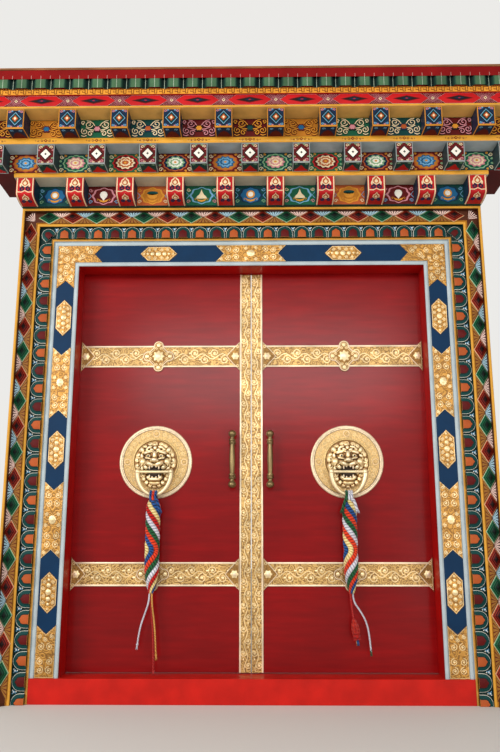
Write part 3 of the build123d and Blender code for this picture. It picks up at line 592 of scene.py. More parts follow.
def petal(tongue_colour, shrink=0.0):
    """Drawn with X across the moulding, from its root, over the carved solid."""
    shapes = [
        raised(arch(46.4 - shrink, 24.3), 0, 10.2, paints["white"]),
        raised(arch(44.8 - shrink, 24), 10.2, 11.2, paints["teal"], soft=1.0),
        raised(arch(27.0 - shrink, 24.5), 11.2, 12.8, paints["white"], soft=0.8),
        raised(tongue(24.4 - shrink, 25.0), 12.8, 17.6, paints[tongue_colour], soft=4.0),
    ]
    if not shrink:
        for x, y, wide, low, tone in florets:
            shapes.append(raised(circle(x, y, wide, count=10), low, low + 1.8, paints[tone], soft=0.8))
    return joined(shapes)


def on_the_floor(piece):
    """Cut a row off level with the floor."""
    for vertex in piece.data.vertices:
        vertex.co.z = max(vertex.co.z, 0.0005)
    return piece


head_pitch, head_steps, leg_pitch = 0.1019, 11, 0.1056
lotus_root, lotus_plane = 0.167, -0.016
petals = []
for tongue_colour, parity in (("maroon", 0), ("orange", 1)):
    places = []
    for step in range(-head_steps, head_steps + 1):
        if step % 2 == parity:
            places.append(facing(step * head_pitch, lotus_plane, lintel + lotus_root, 90))
    top = lintel + lotus_root - (half_opening + lotus_root - head_steps * head_pitch)
    count = int(top / leg_pitch) + 1
    for number in range(count):
        if number % 2 != parity:
            height = top - number * leg_pitch
            if height > 0.0:
                places.append(facing(half_opening + lotus_root, lotus_plane, height))
                places.append(facing(-half_opening - lotus_root, lotus_plane, height, 180))
    petals += repeated(petal(tongue_colour), places)
set_down(on_the_floor(joined(petals, "lotus_petals")), "frame")

# %% [markdown]
# ## Pyramid row
# The outer row is cut into long diamond pyramids, green and red in turn. A value stored on the
# points, 0 at the tip and 1 at the foot, lets one ramp paint the dark tip, the coloured flank
# with its stepped lines and the light edge. Fans of rays fill the gaps between them, pink and
# pale blue on the outer side and ochre on the inner side.


# %% Painted pyramids
def pyramid_paint(name, stops):
    made, tree, shader = material("mineral_paint_pyramid_" + name, 0.5, coat=0.15)
    foot = add(tree, "ShaderNodeAttribute", attribute_name="foot")
    aged(tree, shader, ramp(tree, foot.outputs["Fac"], stops, steps=True), shade=0.1)
    return made


flanks = {
    "green": [
        (0, "06120F"), (0.25, "071F17"), (0.38, "0F4A30"), (0.46, "071F17"), (0.6, "14603C"),
        (0.7, "082A1D"), (0.82, "1F7650"), (0.93, "C9C9A0"),
    ],
    "red": [
        (0, "120606"), (0.25, "300907"), (0.38, "7A1A10"), (0.46, "300907"), (0.6, "942413"),
        (0.7, "3C0E0A"), (0.82, "B03E1C"), (0.93, "DFC296"),
    ],
}


def pyramid(finish):
    """A four-sided pyramid over the solid's; its sides run in under the beads."""
    select_only()
    bpy.ops.mesh.primitive_cone_add(vertices=4, radius1=1, depth=0.0353, end_fill_type="NGON")
    shape = bpy.context.object
    bpy.ops.object.mode_set(mode="EDIT")
    bpy.ops.mesh.select_all(action="SELECT")
    bpy.ops.transform.resize(value=(0.0395, 0.0655, 1))
    bpy.ops.transform.translate(value=(0, 0, 0.01785))
    bpy.ops.object.mode_set(mode="OBJECT")
    foot = shape.data.attributes.new("foot", "FLOAT", "POINT")
    for vertex in shape.data.vertices:
        foot.data[vertex.index].value = 0.0 if vertex.co.z > 0.02 else 1.0
    shape.data.materials.append(finish)
    return shape


def fan(light, dark, half, reach=35, rays=6):
    """Rays from the point where two diamonds meet, out to the bead."""
    shapes = []
    for i in range(rays):
        low = -half + 2 * half * i / rays
        high = low + 2 * half / rays
        middle = (low + high) / 2
        shapes.append(raised([(2, middle * 0.08), (reach, low), (reach, high)], 0, 2.8, light))
        shapes.append(raised([(4, high * 0.1), (reach, high - 3.6), (reach, high + 3.6)], 2.8, 3.4, dark))
    return joined(shapes)


pyramid_middle, pyramid_plane = 0.289, -0.050
head_pyramid, leg_pyramid = 0.1425, 0.146
places = {"green": [], "red": []}
fan_places = {"pink": [], "sky": [], "inner": []}
for number in range(18):
    x = (number - 8.5) * head_pyramid
    tone = "green" if number % 2 == 0 else "red"
    places[tone].append(facing(x, pyramid_plane, lintel + pyramid_middle, 90))
    if number < 17:
        gap = "pink" if tone == "green" else "sky"
        middle = (x + head_pyramid / 2, pyramid_plane, lintel + pyramid_middle)
        fan_places[gap].append(facing(*middle, 90))
        fan_places["inner"].append(facing(*middle, 270))
first = lintel + 0.258 - 0.066
for side in (-1, 1):
    for number in range(int(first / leg_pyramid) + 1):
        height = first - number * leg_pyramid
        tone = ("red", "green")[(number + (side > 0)) % 2]
        turn = 0 if side > 0 else 180
        x = side * (half_opening + pyramid_middle)
        if height > 0.02:
            places[tone].append(facing(x, pyramid_plane, height, turn))
        if height > 0.10:
            gap = "sky" if tone == "red" else "pink"
            fan_places[gap].append(facing(x, pyramid_plane, height - leg_pyramid / 2, turn))
            fan_places["inner"].append(facing(x, pyramid_plane, height - leg_pyramid / 2, turn + 180))
shapes = []
for tone, spots in places.items():
    shapes += repeated(pyramid(pyramid_paint(tone, flanks[tone])), spots)
set_down(on_the_floor(joined(shapes, "painted_pyramids")), "frame")
fan_light = {
    "pink": mineral_paint("fan_pink", "EBC6B8"),
    "sky": mineral_paint("fan_blue", "A9CBD8"),
    "inner": mineral_paint("fan_ochre", "8E6026"),
}
shapes = []
for tone, spots in fan_places.items():
    dark = paints["maroon"] if tone == "inner" else paints["black"]
    drawing = fan(fan_light[tone], dark, 60, rays=5) if tone == "inner" else fan(fan_light[tone], dark, 62)
    shapes += repeated(drawing, spots)
set_down(on_the_floor(joined(shapes, "pyramid_fans")), "frame")

# %% [markdown]
# ## Beam ends of the lowest tier
# These ends are rounded underneath, so the cream border runs down the front and then along
# the curve. A flaming jewel over a pair of curls sits on the front, and again below.


# %% Lowest beam ends
def scaled(points, share, dy):
    """An outline drawn larger or smaller, then moved up."""
    return [(x * share, dy + y * share) for x, y in points]


jewel_outline = [
    (0, 27), (5, 16), (13, 9), (15, -2), (9, -11), (0, -14), (-9, -11), (-15, -2), (-13, 9), (-5, 16)
]


def jewel(size, dy):
    """A flaming jewel in three coats."""
    return [
        raised(scaled(jewel_outline, 1.25 * size, dy), 0, 0.8, paints["cream"]),
        raised(scaled(jewel_outline, 0.9 * size, dy), 0.8, 1.4, paints["orange"]),
        raised(scaled(jewel_outline, 0.5 * size, dy - 2), 1.4, 2.4, paints["cream"], soft=1.0),
    ]


def curl_pair(x, y, outer, finish, radius, start=100, turns=1.15):
    """A curl and its mirror image."""
    curl = spiral(x, y, outer, outer * 0.25, start, turns)
    return [thread(curl, radius, finish), thread(mirror_points(curl), radius, finish)]


underside = [(-46.5 + 33 * sin(radians(a)), -112 * (1 + cos(radians(a)))) for a in range(180, 271, 10)]
border = [(46, 46, 0)] + [(46, y, z) for y, z in underside]
front = [thread(border, 3.6, paints["cream"]), thread(mirror_points(border), 3.6, paints["cream"])]
front += jewel(1.35, 14)
front += curl_pair(20, -20, 15, paints["navy"], 4.4) + curl_pair(20, -20, 15, paints["cream"], 3.0)
front += [raised(circle(x, 2, 5, 12, count=10), 0, 1.6, paints["cream"], soft=1.0) for x in (-26, 26)]
front += [thread([(-44, -40), (-20, -42), (0, -32), (20, -42), (44, -40)], 3.0, paints["cream"])]
front_1 = joined(front)
below = jewel(1.1, 6)
below += curl_pair(20, -18, 13, paints["navy"], 3.6) + curl_pair(20, -18, 13, paints["pink"], 2.4)
below_1 = joined(below)
pieces = repeated(front_1, [facing(x, *fronts[1]) for x in row(10)])
pieces += repeated(below_1, [under(x, *undersides[1], radians(16.4)) for x in row(10)])
set_down(joined(pieces, "beam_ornament_1"), "frame")

# %% [markdown]
# ## Beam ends of the middle and the top tier
# Both are square, with a border round the front and round the underside. The middle ones have
# a white diamond, the top ones an orange flower inside blue and black diamonds.


# %% Middle and top beam ends
def frame_line(half_wide, half_high, finish):
    return thread(rectangle(half_wide, half_high), 3.0, finish, closed=True)


def panel(half_wide, half_high, finish):
    """A coat of paint over a whole field."""
    return raised(rectangle(half_wide, half_high), 0.0, 0.6, finish)


def diamond(half_wide, half_high, low, high, finish, soft=0.0):
    outline = [(half_wide, 0), (0, half_high), (-half_wide, 0), (0, -half_high)]
    return raised(outline, low, high, finish, soft)


def corner_curls(x, y, outer, upper, lower, radius=2.2):
    shapes = curl_pair(x, y, outer, upper, radius, 200, -1.1)
    curl = spiral(x, -y, outer, outer * 0.25, 160, 1.1)
    return shapes + [thread(curl, radius, lower), thread(mirror_points(curl), radius, lower)]


front_2 = joined(
    [panel(45, 56, paints["maroon"]), frame_line(46, 57, paints["grey"])]
    + corner_curls(31, 42, 10, paints["cream"], paints["pink"], 2.4)
    + corner_curls(17, 50, 6, paints["leaf"], paints["cream"], 2.0)
    + corner_curls(39, 24, 5, paints["pink"], paints["leaf"], 2.0)
    + [diamond(36, 39, 0.6, 1.2, paints["black"]), diamond(29, 32, 1.2, 2.2, paints["white"], soft=1.5)]
    + [raised(circle(0, 0, 8, count=16, lobes=4, hollow=0.5), 2.2, 3.2, paints["black"])]
)
below_2 = joined(
    [panel(45, 51, paints["teal"]), frame_line(46, 52, paints["grey"])]
    + [raised([(-40, -48), (40, -48), (0, 22)], 0.6, 1.4, paints["red"])]
    + corner_curls(31, 34, 9, paints["leaf"], paints["red"])
)
front_3 = joined(
    [panel(45, 53, paints["navy"]), frame_line(46, 54, paints["gold"])]
    + corner_curls(34, 42, 8, paints["pink"], paints["sky"], 2.2)
    + corner_curls(20, 47, 5, paints["sky"], paints["pink"], 2.0)
    + [
        diamond(44, 50, 0.6, 1.2, paints["black"]),
        diamond(35, 41, 1.2, 1.8, paints["sky"]),
        diamond(31, 36, 1.8, 2.4, paints["teal"]),
    ]
    + [
        diamond(22, 26, 2.4, 3.0, paints["black"]),
        raised(circle(0, 0, 17, 20, count=16, lobes=4, hollow=0.35), 3.0, 4.0, paints["orange"], soft=1.0),
    ]
    + [raised(circle(0, 0, 8, 10, count=12, lobes=4, hollow=0.3), 4.5, 5.3, paints["cream"])]
)
below_3 = joined(
    [panel(45, 52, paints["navy"]), frame_line(46, 53, paints["gold"])]
    + [raised([(-42, -50), (42, -50), (20, -2), (0, 14), (-20, -2)], 0.6, 1.4, paints["maroon"])]
    + corner_curls(26, 28, 10, paints["sky"], paints["maroon"])
)
for tier, front, below in ((2, front_2, below_2), (3, front_3, below_3)):
    spots = row(9 + tier)
    pieces = repeated(front, [facing(x, *fronts[tier]) for x in spots])
    pieces += repeated(below, [under(x, *undersides[tier]) for x in spots])
    set_down(joined(pieces, f"beam_ornament_{tier}"), "frame")

# %% [markdown]
# ## Friezes between the beam ends
# The lowest frieze shows offerings, a mirror, a shell, a bowl and a heap of grain, each in a
# medallion. The middle one has lotus flowers in scalloped ovals, the top one rolling clouds.


# %% Lowest frieze
def medallion(ground, ring, field):
    """A painted bay with a scalloped oval, 120 by 100 mm inside its ring."""
    return [
        panel(92.5, 61.5, paints[ground]),
        raised(circle(0, 0, 74, 56, count=32, lobes=8, hollow=0.14), 0.6, 1.2, paints[ring]),
        raised(circle(0, 0, 60, 50, count=32, lobes=8, hollow=0.12), 1.2, 1.7, paints[field]),
    ]


def side_curls(tone, second):
    """Curls in the corners of a bay and a ribbon at each end."""
    curls = curl_pair(78, 38, 12, paints[tone], 2.4, 180, 1.2)
    curls += curl_pair(78, -38, 12, paints[second], 2.4, 180, -1.2)
    return curls + [thread([(s * 90, 20), (s * 74, 0), (s * 90, -20)], 2.2, paints["sky"]) for s in (-1, 1)]


def lotus_base():
    """The open flower that carries an offering."""
    flower = raised(lotus_outline, 1.7, 3.0, paints["gold"], soft=1.0)
    return [flower] + curl_pair(34, -22, 7, paints["gold"], 2.0, 250, 1.1)


lotus_outline = [(-30, -20), (-20, -36), (0, -41), (20, -36), (30, -20), (14, -27), (0, -29), (-14, -27)]
shell_outline = [
    (0, -30), (7, -20), (19, -6), (23, 8), (18, 22), (7, 29), (-7, 29), (-18, 22), (-23, 8),
    (-19, -6), (-7, -20),
]
bowl_outline = [(-34, 14), (34, 14), (27, -8), (12, -20), (-12, -20), (-27, -8)]
heap_outline = [(0, 40), (6, 20), (14, 6), (28, -8), (32, -20), (-32, -20), (-28, -8), (-14, 6), (-6, 20)]
mirror_bay = medallion("teal", "navy", "blue") + side_curls("sky", "leaf") + lotus_base()
mirror_bay += [
    raised(circle(0, 6, 25, count=20), 1.7, 2.6, paints["gold"]),
    raised(circle(0, 6, 16, count=16), 2.6, 3.6, paints["white"], soft=1.5),
]
shell_bay = medallion("maroon", "pink", "maroon") + side_curls("pink", "sky") + lotus_base()
shell_bay += [
    raised(shell_outline, 1.7, 3.4, paints["white"], soft=3.0),
    thread(spiral(0, 12, 11, 2, 90, 1.5), 1.4, paints["sky"]),
]
bowl_bay = medallion("orange", "gold", "ochre") + side_curls("gold", "cream") + lotus_base()
bowl_bay += [raised(bowl_outline, 1.7, 3.4, paints["gold"], soft=2.0)]
bowl_bay += [
    raised(circle(0, 16, 33, 12, count=20), 3.4, 4.4, paints["teal"]),
    thread(circle(0, 16, 33, 12, count=20), 1.8, paints["cream"], closed=True),
]
heap_bay = medallion("green", "sky", "green") + side_curls("cream", "pink") + lotus_base()
heap_bay += [
    raised(heap_outline, 1.7, 3.2, paints["cream"], soft=2.0),
    thread([(-26, -12), (0, -4), (26, -12)], 1.8, paints["gold"]),
]
bays = [joined(bay) for bay in (mirror_bay, shell_bay, bowl_bay, heap_bay)]
order = (0, 1, 2, 3, 0, 3, 2, 1, 0)
pieces = []
for kind, bay in enumerate(bays):
    pieces += repeated(bay, [facing(x, *friezes[1]) for x, own in zip(row(9), order) if own == kind])
set_down(joined(pieces, "frieze_offerings"), "frame")


# %% Middle and top friezes
def lotus_bay(ground, rim, field, flower, heart):
    shapes = [panel(95.5, 58, paints[ground])]
    shapes += [raised(circle(0, 0, 78, 55, count=48, lobes=12, hollow=0.1), 0.6, 1.2, paints[rim])]
    shapes += [raised(circle(0, 0, 69, 48, count=48, lobes=12, hollow=0.08), 1.2, 1.8, paints[field])]
    layers = [(58, 41, 1.8, flower), (46, 32, 3.4, heart), (34, 23, 5.0, flower), (22, 15, 6.6, heart)]
    for wide, high, low, tone in layers:
        outline = circle(0, 1, wide, high, count=40, lobes=10, hollow=0.2)
        shapes += [raised(outline, low, low + 0.8, paints[tone], soft=1.6)]
    shapes += [raised(circle(0, 0, 8, 6, count=10), 8.2, 9.0, paints["gold"])]
    for x, y, outer, tone in ((84, 42, 13, "cream"), (62, 51, 7, "gold"), (90, 16, 7, "leaf")):
        shapes += curl_pair(x, y, outer, paints[tone], 2.6, 180, 1.2)
        shapes += curl_pair(x, -y, outer, paints[tone], 2.6, 180, -1.2)
    return joined(shapes)


cloud_curls = [  # middle, outer radius, start in degrees and number of turns
    (48, 26, 23, 200, 1.25), (72, -18, 21, 60, -1.3), (38, -32, 18, 150, -1.2), (82, 38, 12, 250, 1.1),
]
cloud_trails = [
    [(14, 16), (26, 34), (42, 46), (62, 50)],
    [(16, -10), (34, -8), (50, -2), (66, 6)],
    [(60, -44), (74, -50), (90, -44)],
]


def cloud_bay(ground, tone, rim, heart):
    """Rolling clouds: thick curls with a dark rim, running out from a round heart."""
    shapes = [panel(95.5, 55.5, paints[ground])]
    clouds = [spiral(x, y, outer, 4, start, turns, count=18) for x, y, outer, start, turns in cloud_curls]
    for cloud in clouds + cloud_trails:
        for line in (cloud, mirror_points(cloud)):
            shapes += [thread(line, 6.2, paints[rim])]
            shapes += [thread([(*point, 3.2) for point in line], 4.0, paints[tone])]
    shapes += [raised(circle(0, -2, 28, 24, count=24, lobes=6, hollow=0.2), 2, 5, paints[rim], soft=2.0)]
    shapes += [raised(circle(0, -2, 19, 16, count=24, lobes=6, hollow=0.25), 6, 8, paints[heart], soft=2.0)]
    return joined(shapes)


lotus_kinds = [
    lotus_bay("maroon", "orange", "ochre", "blue", "sky"),
    lotus_bay("teal", "leaf", "green", "pink", "cream"),
    lotus_bay("green", "red", "maroon", "cream", "orange"),
    lotus_bay("maroon", "orange", "navy", "leaf", "white"),
]
pieces = []
for kind, bay in enumerate(lotus_kinds):
    pieces += repeated(bay, [facing(x, *friezes[2]) for x in row(10)[kind::4]])
set_down(joined(pieces, "frieze_lotus"), "frame")
cloud_kinds = [
    cloud_bay("maroon", "gold", "black", "teal"),
    cloud_bay("ochre", "gold", "maroon", "blue"),
    cloud_bay("green", "cream", "black", "pink"),
    cloud_bay("teal", "cream", "navy", "orange"),
    cloud_bay("maroon", "pink", "black", "gold"),
]
pieces = []
for kind, bay in enumerate(cloud_kinds):
    pieces += repeated(bay, [facing(x, *friezes[3]) for x in row(11)[kind::5]])
set_down(joined(pieces, "frieze_clouds"), "frame")

# %% [markdown]
# ## Fascia and fret
# Over the top tier runs a maroon band. It carries long six-sided red panels with dark diamonds,
# set between crossed pink lines. Over it runs a maroon fret on gold.

# %% Fascia panels and key fret
fascia_y, fascia_z, fascia_half = -0.470, 3.256, 1654
hexagon = [(-122, 0), (-78, 31), (78, 31), (122, 0), (78, -31), (-78, -31)]
lozenge = joined([
    raised(hexagon, 0.6, 1.6, paints["red"], soft=1.0),
    thread(hexagon, 1.6, paints["grey"], closed=True),
    diamond(78, 19, 2.2, 2.8, paints["maroon"]),
    diamond(60, 13, 2.8, 3.4, paints["black"]),
    diamond(30, 7, 3.4, 4.0, paints["navy"]),
    diamond(9, 3, 4.0, 4.6, paints["red"]),
])
lattice = []
for shift in (-30, -20, -10, 0, 10, 20, 30):
    for way in (-1, 1):
        top = 31 if abs(shift) < 25 else 20
        lattice.append(thread([(way * (shift - top), -top), (way * (shift + top), top)], 1.0, paints["pink"]))
lattice += [
    raised(circle(0, 0, 9, count=16, lobes=4, hollow=0.3), 0.6, 4.0, paints["cream"]),
    raised(circle(0, 0, 4, count=8), 4, 5, paints["maroon"]),
]
lattice = joined(lattice)
pieces = repeated(panel(fascia_half, 33.5, paints["maroon"]), [facing(0, fascia_y, fascia_z)])
pieces += repeated(lozenge, [facing(x, fascia_y, fascia_z) for x in row(11)])
pieces += repeated(lattice, [facing(x * 0.999, fascia_y, fascia_z) for x in row(10)])
set_down(joined(pieces, "fascia_panels"), "frame")
fret_units = 76
fret_pitch = 3300 / fret_units
meander = []
key = [(0, -12), (0, 12), (0.7, 12), (0.7, -3), (0.35, -3), (0.35, 3.5), (0.36, -3), (0.71, -3), (0.71, -12)]
for unit in range(fret_units):
    meander += [(-1650 + (unit + share) * fret_pitch, y) for share, y in key]
band = [panel(fascia_half, 17, paints["gold"]), thread(meander, 3.0, paints["maroon"], sides=0)]
set_down(*repeated(joined(band, "fret"), [facing(0, -0.480, 3.3075)]), "frame")

# %% [markdown]
# ## Marks on the middle shelf
# Small dark scrolls with a flower between them are painted on the gold nose of the middle
# shelf, one under each bay of the top tier. Thick paint stands up a little, so they are piped.

# %% Painted scrolls on the shelf nose
mark = [
    raised(circle(0, 0, 11, 9, count=16, lobes=4, hollow=0.3), 0, 1.6, paints["maroon"]),
    raised(circle(0, 0, 5, 4, count=8), 1.6, 2.4, paints["gold"]),
]
mark += curl_pair(22, 1, 8, paints["brown"], 1.8, 180, 1.2)
mark += curl_pair(42, -1, 6, paints["brown"], 1.6, 0, -1.2)
mark += curl_pair(58, 0, 4, paints["brown"], 1.4, 180, 1.0)
nose = nodes["shelf_2"].bound_box
nose_front = min(corner[1] for corner in nose)
nose_height = (min(corner[2] for corner in nose) + max(corner[2] for corner in nose)) / 2
print("shelf nose", round(nose_front, 4), round(nose_height, 4))
marks = repeated(joined(mark), [facing(x, nose_front + 0.0008, nose_height) for x in row(11)])
set_down(joined(marks, "shelf_scrolls"), "frame")

# %% [markdown]
# ## Corners of the surround
# Where side and head meet on the mitre, a smaller maroon petal turns the corner of the lotus
# row, and a fan fills the corner of the pyramid row.

# %% Corner petals and corner fans
diagonal = 0.008 / sqrt(2)
lotus_corner = half_opening + lotus_root + diagonal
corner_height = lintel + lotus_root + diagonal
spots = [
    facing(lotus_corner, lotus_plane, corner_height, 45),
    facing(-lotus_corner, lotus_plane, corner_height, 135),
]
set_down(joined(repeated(petal("maroon", shrink=7), spots), "corner_petals"), "frame")
fan_corner = half_opening + pyramid_middle - 0.022
fan_height = lintel + pyramid_middle - 0.022
spots = [
    facing(fan_corner, pyramid_plane, fan_height, 45), facing(-fan_corner, pyramid_plane, fan_height, 135)
]
corner_fans = repeated(fan(fan_light["pink"], paints["black"], 44, reach=52), spots)
set_down(joined(corner_fans, "corner_fans"), "frame")

# %% [markdown]
# ## Pleated cloth
# A band of cloth is box-pleated along the top of the cornice, green below and red above. It is
# a grid whose columns follow the folds, given its thickness afterwards. Pale tacking threads run
# down it, two to a pleat. Each point stores how open it is to the light, and the colour is
# painted from that: painted shade deep in the recesses, lighter on the open faces.

# %% The pleated band
pleats = 31
cloth_half, cloth_low, cloth_high = 1.6545, 3.3225, 3.4312
width_pitch = 2 * cloth_half / pleats


def tacked(tree, base, thread_code, top=3.5):
    """Pale tacking threads down the cloth, two to a pleat, below a height."""
    split = add(tree, "ShaderNodeSeparateXYZ", {"Vector": own_place(tree)})
    across = maths(tree, "WRAP", split.outputs["X"], width_pitch / 2, 0.0)
    thin = maths(tree, "LESS_THAN", across, 0.0024)
    low = maths(tree, "LESS_THAN", split.outputs["Z"], top)
    return blend(tree, maths(tree, "MULTIPLY", thin, low), base, colour(thread_code))


def pleat_paint():
    made, tree, shader = material("pleated_cotton", 0.85)
    painted_fold_light = add(tree, "ShaderNodeAttribute", attribute_name="painted_fold_light")
    # Painted shade: the colour is darkest where a point is least open to the light, deep in the recesses.
    tone = ramp(
        tree, painted_fold_light.outputs["Fac"], [(0.0, "081B18"), (0.8, "1C3B2F"), (0.92, "33523E"), (1.0, "466548")]
    )
    aged(tree, shader, tacked(tree, tone, "A3B09A"), grain_mm=1.5, bump=0.4, shade=0.3)
    return made


profile = [  # place across one pleat, how far out in mm, how open to the light
    (0.0, 0.0, 0.0), (0.10, 0.0, 0.0), (0.125, 3.0, 0.1), (0.205, 14.5, 0.8), (0.235, 17.0, 0.9),
    (0.30, 17.3, 1.0), (0.5, 17.5, 1.0), (0.70, 17.3, 1.0), (0.765, 17.0, 0.9), (0.795, 14.5, 0.8),
    (0.875, 3.0, 0.1), (0.90, 0.0, 0.0),
]
columns, rows = pleats * len(profile), 6
select_only()
bpy.ops.mesh.primitive_grid_add(x_subdivisions=columns, y_subdivisions=rows, size=2)
cloth = bpy.context.object
cloth.name = "pleated_cloth"
painted_fold_light = cloth.data.attributes.new("painted_fold_light", "FLOAT", "POINT")
cut_width, last_place = 0.0, None
for vertex in cloth.data.vertices:
    column = round((vertex.co.x + 1) / 2 * columns)
    height = (vertex.co.y + 1) / 2
    pleat, station = divmod(column, len(profile))
    share, out, lit = profile[station]
    sway = 0.0006 * sin(7.0 * pleat) * (1 - height) * (station > 0)
    x = -cloth_half + (pleat + share) * width_pitch + sway
    y = -0.4818 - (out + 0.8 * sin(5.0 * pleat + 2) * (1 - height) * lit) / 1000
    vertex.co = (max(-cloth_half, min(cloth_half, x)), y, cloth_low + height * (cloth_high - cloth_low))
    # Store the point's share of light, which the cloth paint turns into painted shade.
    painted_fold_light.data[vertex.index].value = lit
    if height == 0:
        if last_place is not None:
            cut_width += hypot(vertex.co.x - last_place[0], y - last_place[1])
        last_place = (vertex.co.x, y)
modified(cloth, "SOLIDIFY", thickness=0.0012)
cloth.data.materials.append(pleat_paint())
set_down(cloth, "frame", "valance")

# %% [markdown]
# ## Red heading band
# A plain red band covers the upper half of the pleats. It is stretched flat, with the faint
# ripple of cloth sewn to pleats, and pale tacking threads show on its lower part.


# %% The heading band
def heading_paint():
    made, tree, shader = material("heading_cotton", 0.85)
    aged(tree, shader, tacked(tree, colour("7C0E0E"), "B08A80", top=3.397), grain_mm=1.5, bump=0.4)
    return made


select_only()
bpy.ops.mesh.primitive_grid_add(x_subdivisions=8 * pleats, y_subdivisions=4, size=2)
heading = bpy.context.object
heading.name = "cloth_heading"
heading_low = 3.3765
for vertex in heading.data.vertices:
    x, height = vertex.co.x * cloth_half, (vertex.co.y + 1) / 2
    ripple = 0.0007 * cos(2 * pi * x / width_pitch) * (1 - height)
    vertex.co = (x, -0.5018 + ripple, heading_low + height * (cloth_high - heading_low))
modified(heading, "SOLIDIFY", thickness=0.0010)
heading.data.materials.append(heading_paint())
set_down(heading, "frame")

# %% [markdown]
# ## Embossed scrolls
# The gilt sheets carry a running vine: a waving stem with a curl in each bend. The vine is
# drawn to suit each kind of sheet and set on it, together with plain pale edges.


# %% Vines on straps and strips
def vine(length, count, outer, sway, radius, finish):
    """A stem along X with a curl and a bud in each bend."""
    step = length / count
    shapes = []
    stem = []
    for i in range(4 * count + 1):
        x = -length / 2 + i * step / 4
        stem.append((x, sway * sin(pi * i / 4 + pi / 4)))
    shapes.append(thread(stem, radius, finish))
    for i in range(count):
        x = -length / 2 + (i + 0.5) * step
        way = 1 if i % 2 == 0 else -1
        centre = -way * (outer * 0.75)
        shapes.append(thread(spiral(x, centre, outer, outer * 0.22, 90 * way, way * 1.35), radius, finish))
        shapes.append(raised(circle(x, centre, outer * 0.24, count=8), 0, radius * 1.3, finish, soft=1.0))
        bud = circle(x + step / 2, centre * -0.9, outer * 0.3, outer * 0.2, count=8)
        shapes.append(raised(bud, 0, radius, finish, soft=1.0))
    return joined(shapes)


def bar(length, width, finish):
    return raised(rectangle(length / 2, width / 2), 0, 0.8, finish, soft=width * 0.25)


for side, sign in sides:
    x = sign * 0.5455
    pieces = repeated(
        vine(950, 16, 28, 17, 3.2, smooth_gilt), [facing(x, scroll_y, z) for z in strap_heights]
    )
    edges = [facing(x, edge_y, z + dz) for z in strap_heights for dz in (-0.0615, 0.0615)]
    pieces += repeated(bar(957, 9, pale_gilt), edges)
    set_down(joined(pieces, "strap_scrolls_" + side), "leaf_" + side)
    pieces = repeated(
        vine(2300, 36, 19, 10, 2.8, smooth_gilt), [facing(sign * 0.0305, scroll_y, strip_middle, 90)]
    )
    pieces += repeated(bar(2312, 9, pale_gilt), [facing(sign * 0.0625, edge_y, strip_middle, 90)])
    set_down(joined(pieces, "strip_scrolls_" + side), "leaf_" + side)

# %% [markdown]
# ## Rosettes and pointed ends
# A rosette with four rounded points covers the middle of each strap, and half of a pointed
# plate covers each end. Their rims are threads that follow the outline a little way in.


# %% Rims and flowers on the strap ornaments
def rosette_rim(inset, count=64):
    points = []
    for i in range(count):
        turn = 2 * pi * i / count
        reach = 88 / (abs(cos(turn)) + abs(sin(turn)))
        off = abs((turn + pi / 4) % (pi / 2) - pi / 4)
        if 65 * sin(off) < 30:
            reach = max(reach, 65 * cos(off) + sqrt(900 - (65 * sin(off)) ** 2))
        points.append(((reach - inset) * cos(turn), (reach - inset) * sin(turn)))
    return points


rosette = [
    thread(rosette_rim(5), 2.8, pale_gilt, closed=True),
    thread(rosette_rim(15), 1.4, smooth_gilt, closed=True),
]
rosette += [raised(circle(0, 0, 36, count=48, lobes=8, hollow=0.3), 0, 2.5, smooth_gilt, soft=2.5)]
rosette += [raised(circle(0, 0, 16, count=24), 3.0, 6.5, pale_gilt, soft=5.0)]
for turn in range(4):
    c, s = cos(turn * pi / 2), sin(turn * pi / 2)
    rosette += [raised(circle(68 * c, 68 * s, 11, count=12), 0, 2.4, smooth_gilt, soft=2.5)]
    rosette += [thread(spiral(50 * c - 12 * s, 50 * s + 12 * c, 9, 2, 90 * turn, 1.3), 1.8, smooth_gilt)]
    rosette += [thread(spiral(50 * c + 12 * s, 50 * s - 12 * c, 9, 2, 90 * turn, -1.3), 1.8, smooth_gilt)]
rosette = joined(rosette)
half_rim = [(4, -84), (46, -40), (80, 0), (46, 40), (4, 84)]
pointed = [thread(half_rim, 2.6, pale_gilt, closed=True)]
pointed += [raised(circle(28, 0, 24, count=32, lobes=6, hollow=0.25), 0, 2.4, smooth_gilt, soft=3.0)]
pointed += [raised(circle(28, 0, 10, count=16), 3.8, 6.0, pale_gilt, soft=3.0)]
pointed += [thread(spiral(16, y, 11, 2, 0, t), 2.0, smooth_gilt) for y, t in ((58, 1.3), (-58, -1.3))]
pointed = joined(pointed)
for side, sign in sides:
    pieces = []
    inward, outward = (180, 0) if sign < 0 else (0, 180)
    for z in strap_heights:
        pieces += repeated(rosette, [facing(sign * knocker_x, ornament_y, z)], keep=True)
        spots = [facing(sign * 0.067, ornament_y, z, inward), facing(sign * 1.024, ornament_y, z, outward)]
        pieces += repeated(pointed, spots, keep=True)
    set_down(joined(pieces, "strap_rims_" + side), "leaf_" + side)
bpy.data.objects.remove(rosette)
bpy.data.objects.remove(pointed)

# %% [markdown]
# ## Casing plates
# The gilt plates on the casing are worked with scrolls too: a row of bosses between curls on
# each lozenge, a flower between curls on each swallow-tailed plate, and curls alone on the
# others. All but the corner plates have a raised rim.


# %% Scrolls on the casing plates
def plate_scrolls(centres, outer, radius=2.4):
    shapes = []
    for x, y, way in centres:
        shapes.append(thread(spiral(x, y, outer, outer * 0.2, 90, way * 1.5), radius, smooth_gilt))
        shapes.append(raised(circle(x, y, outer * 0.22, count=8), 0, radius * 1.2, smooth_gilt))
    return shapes


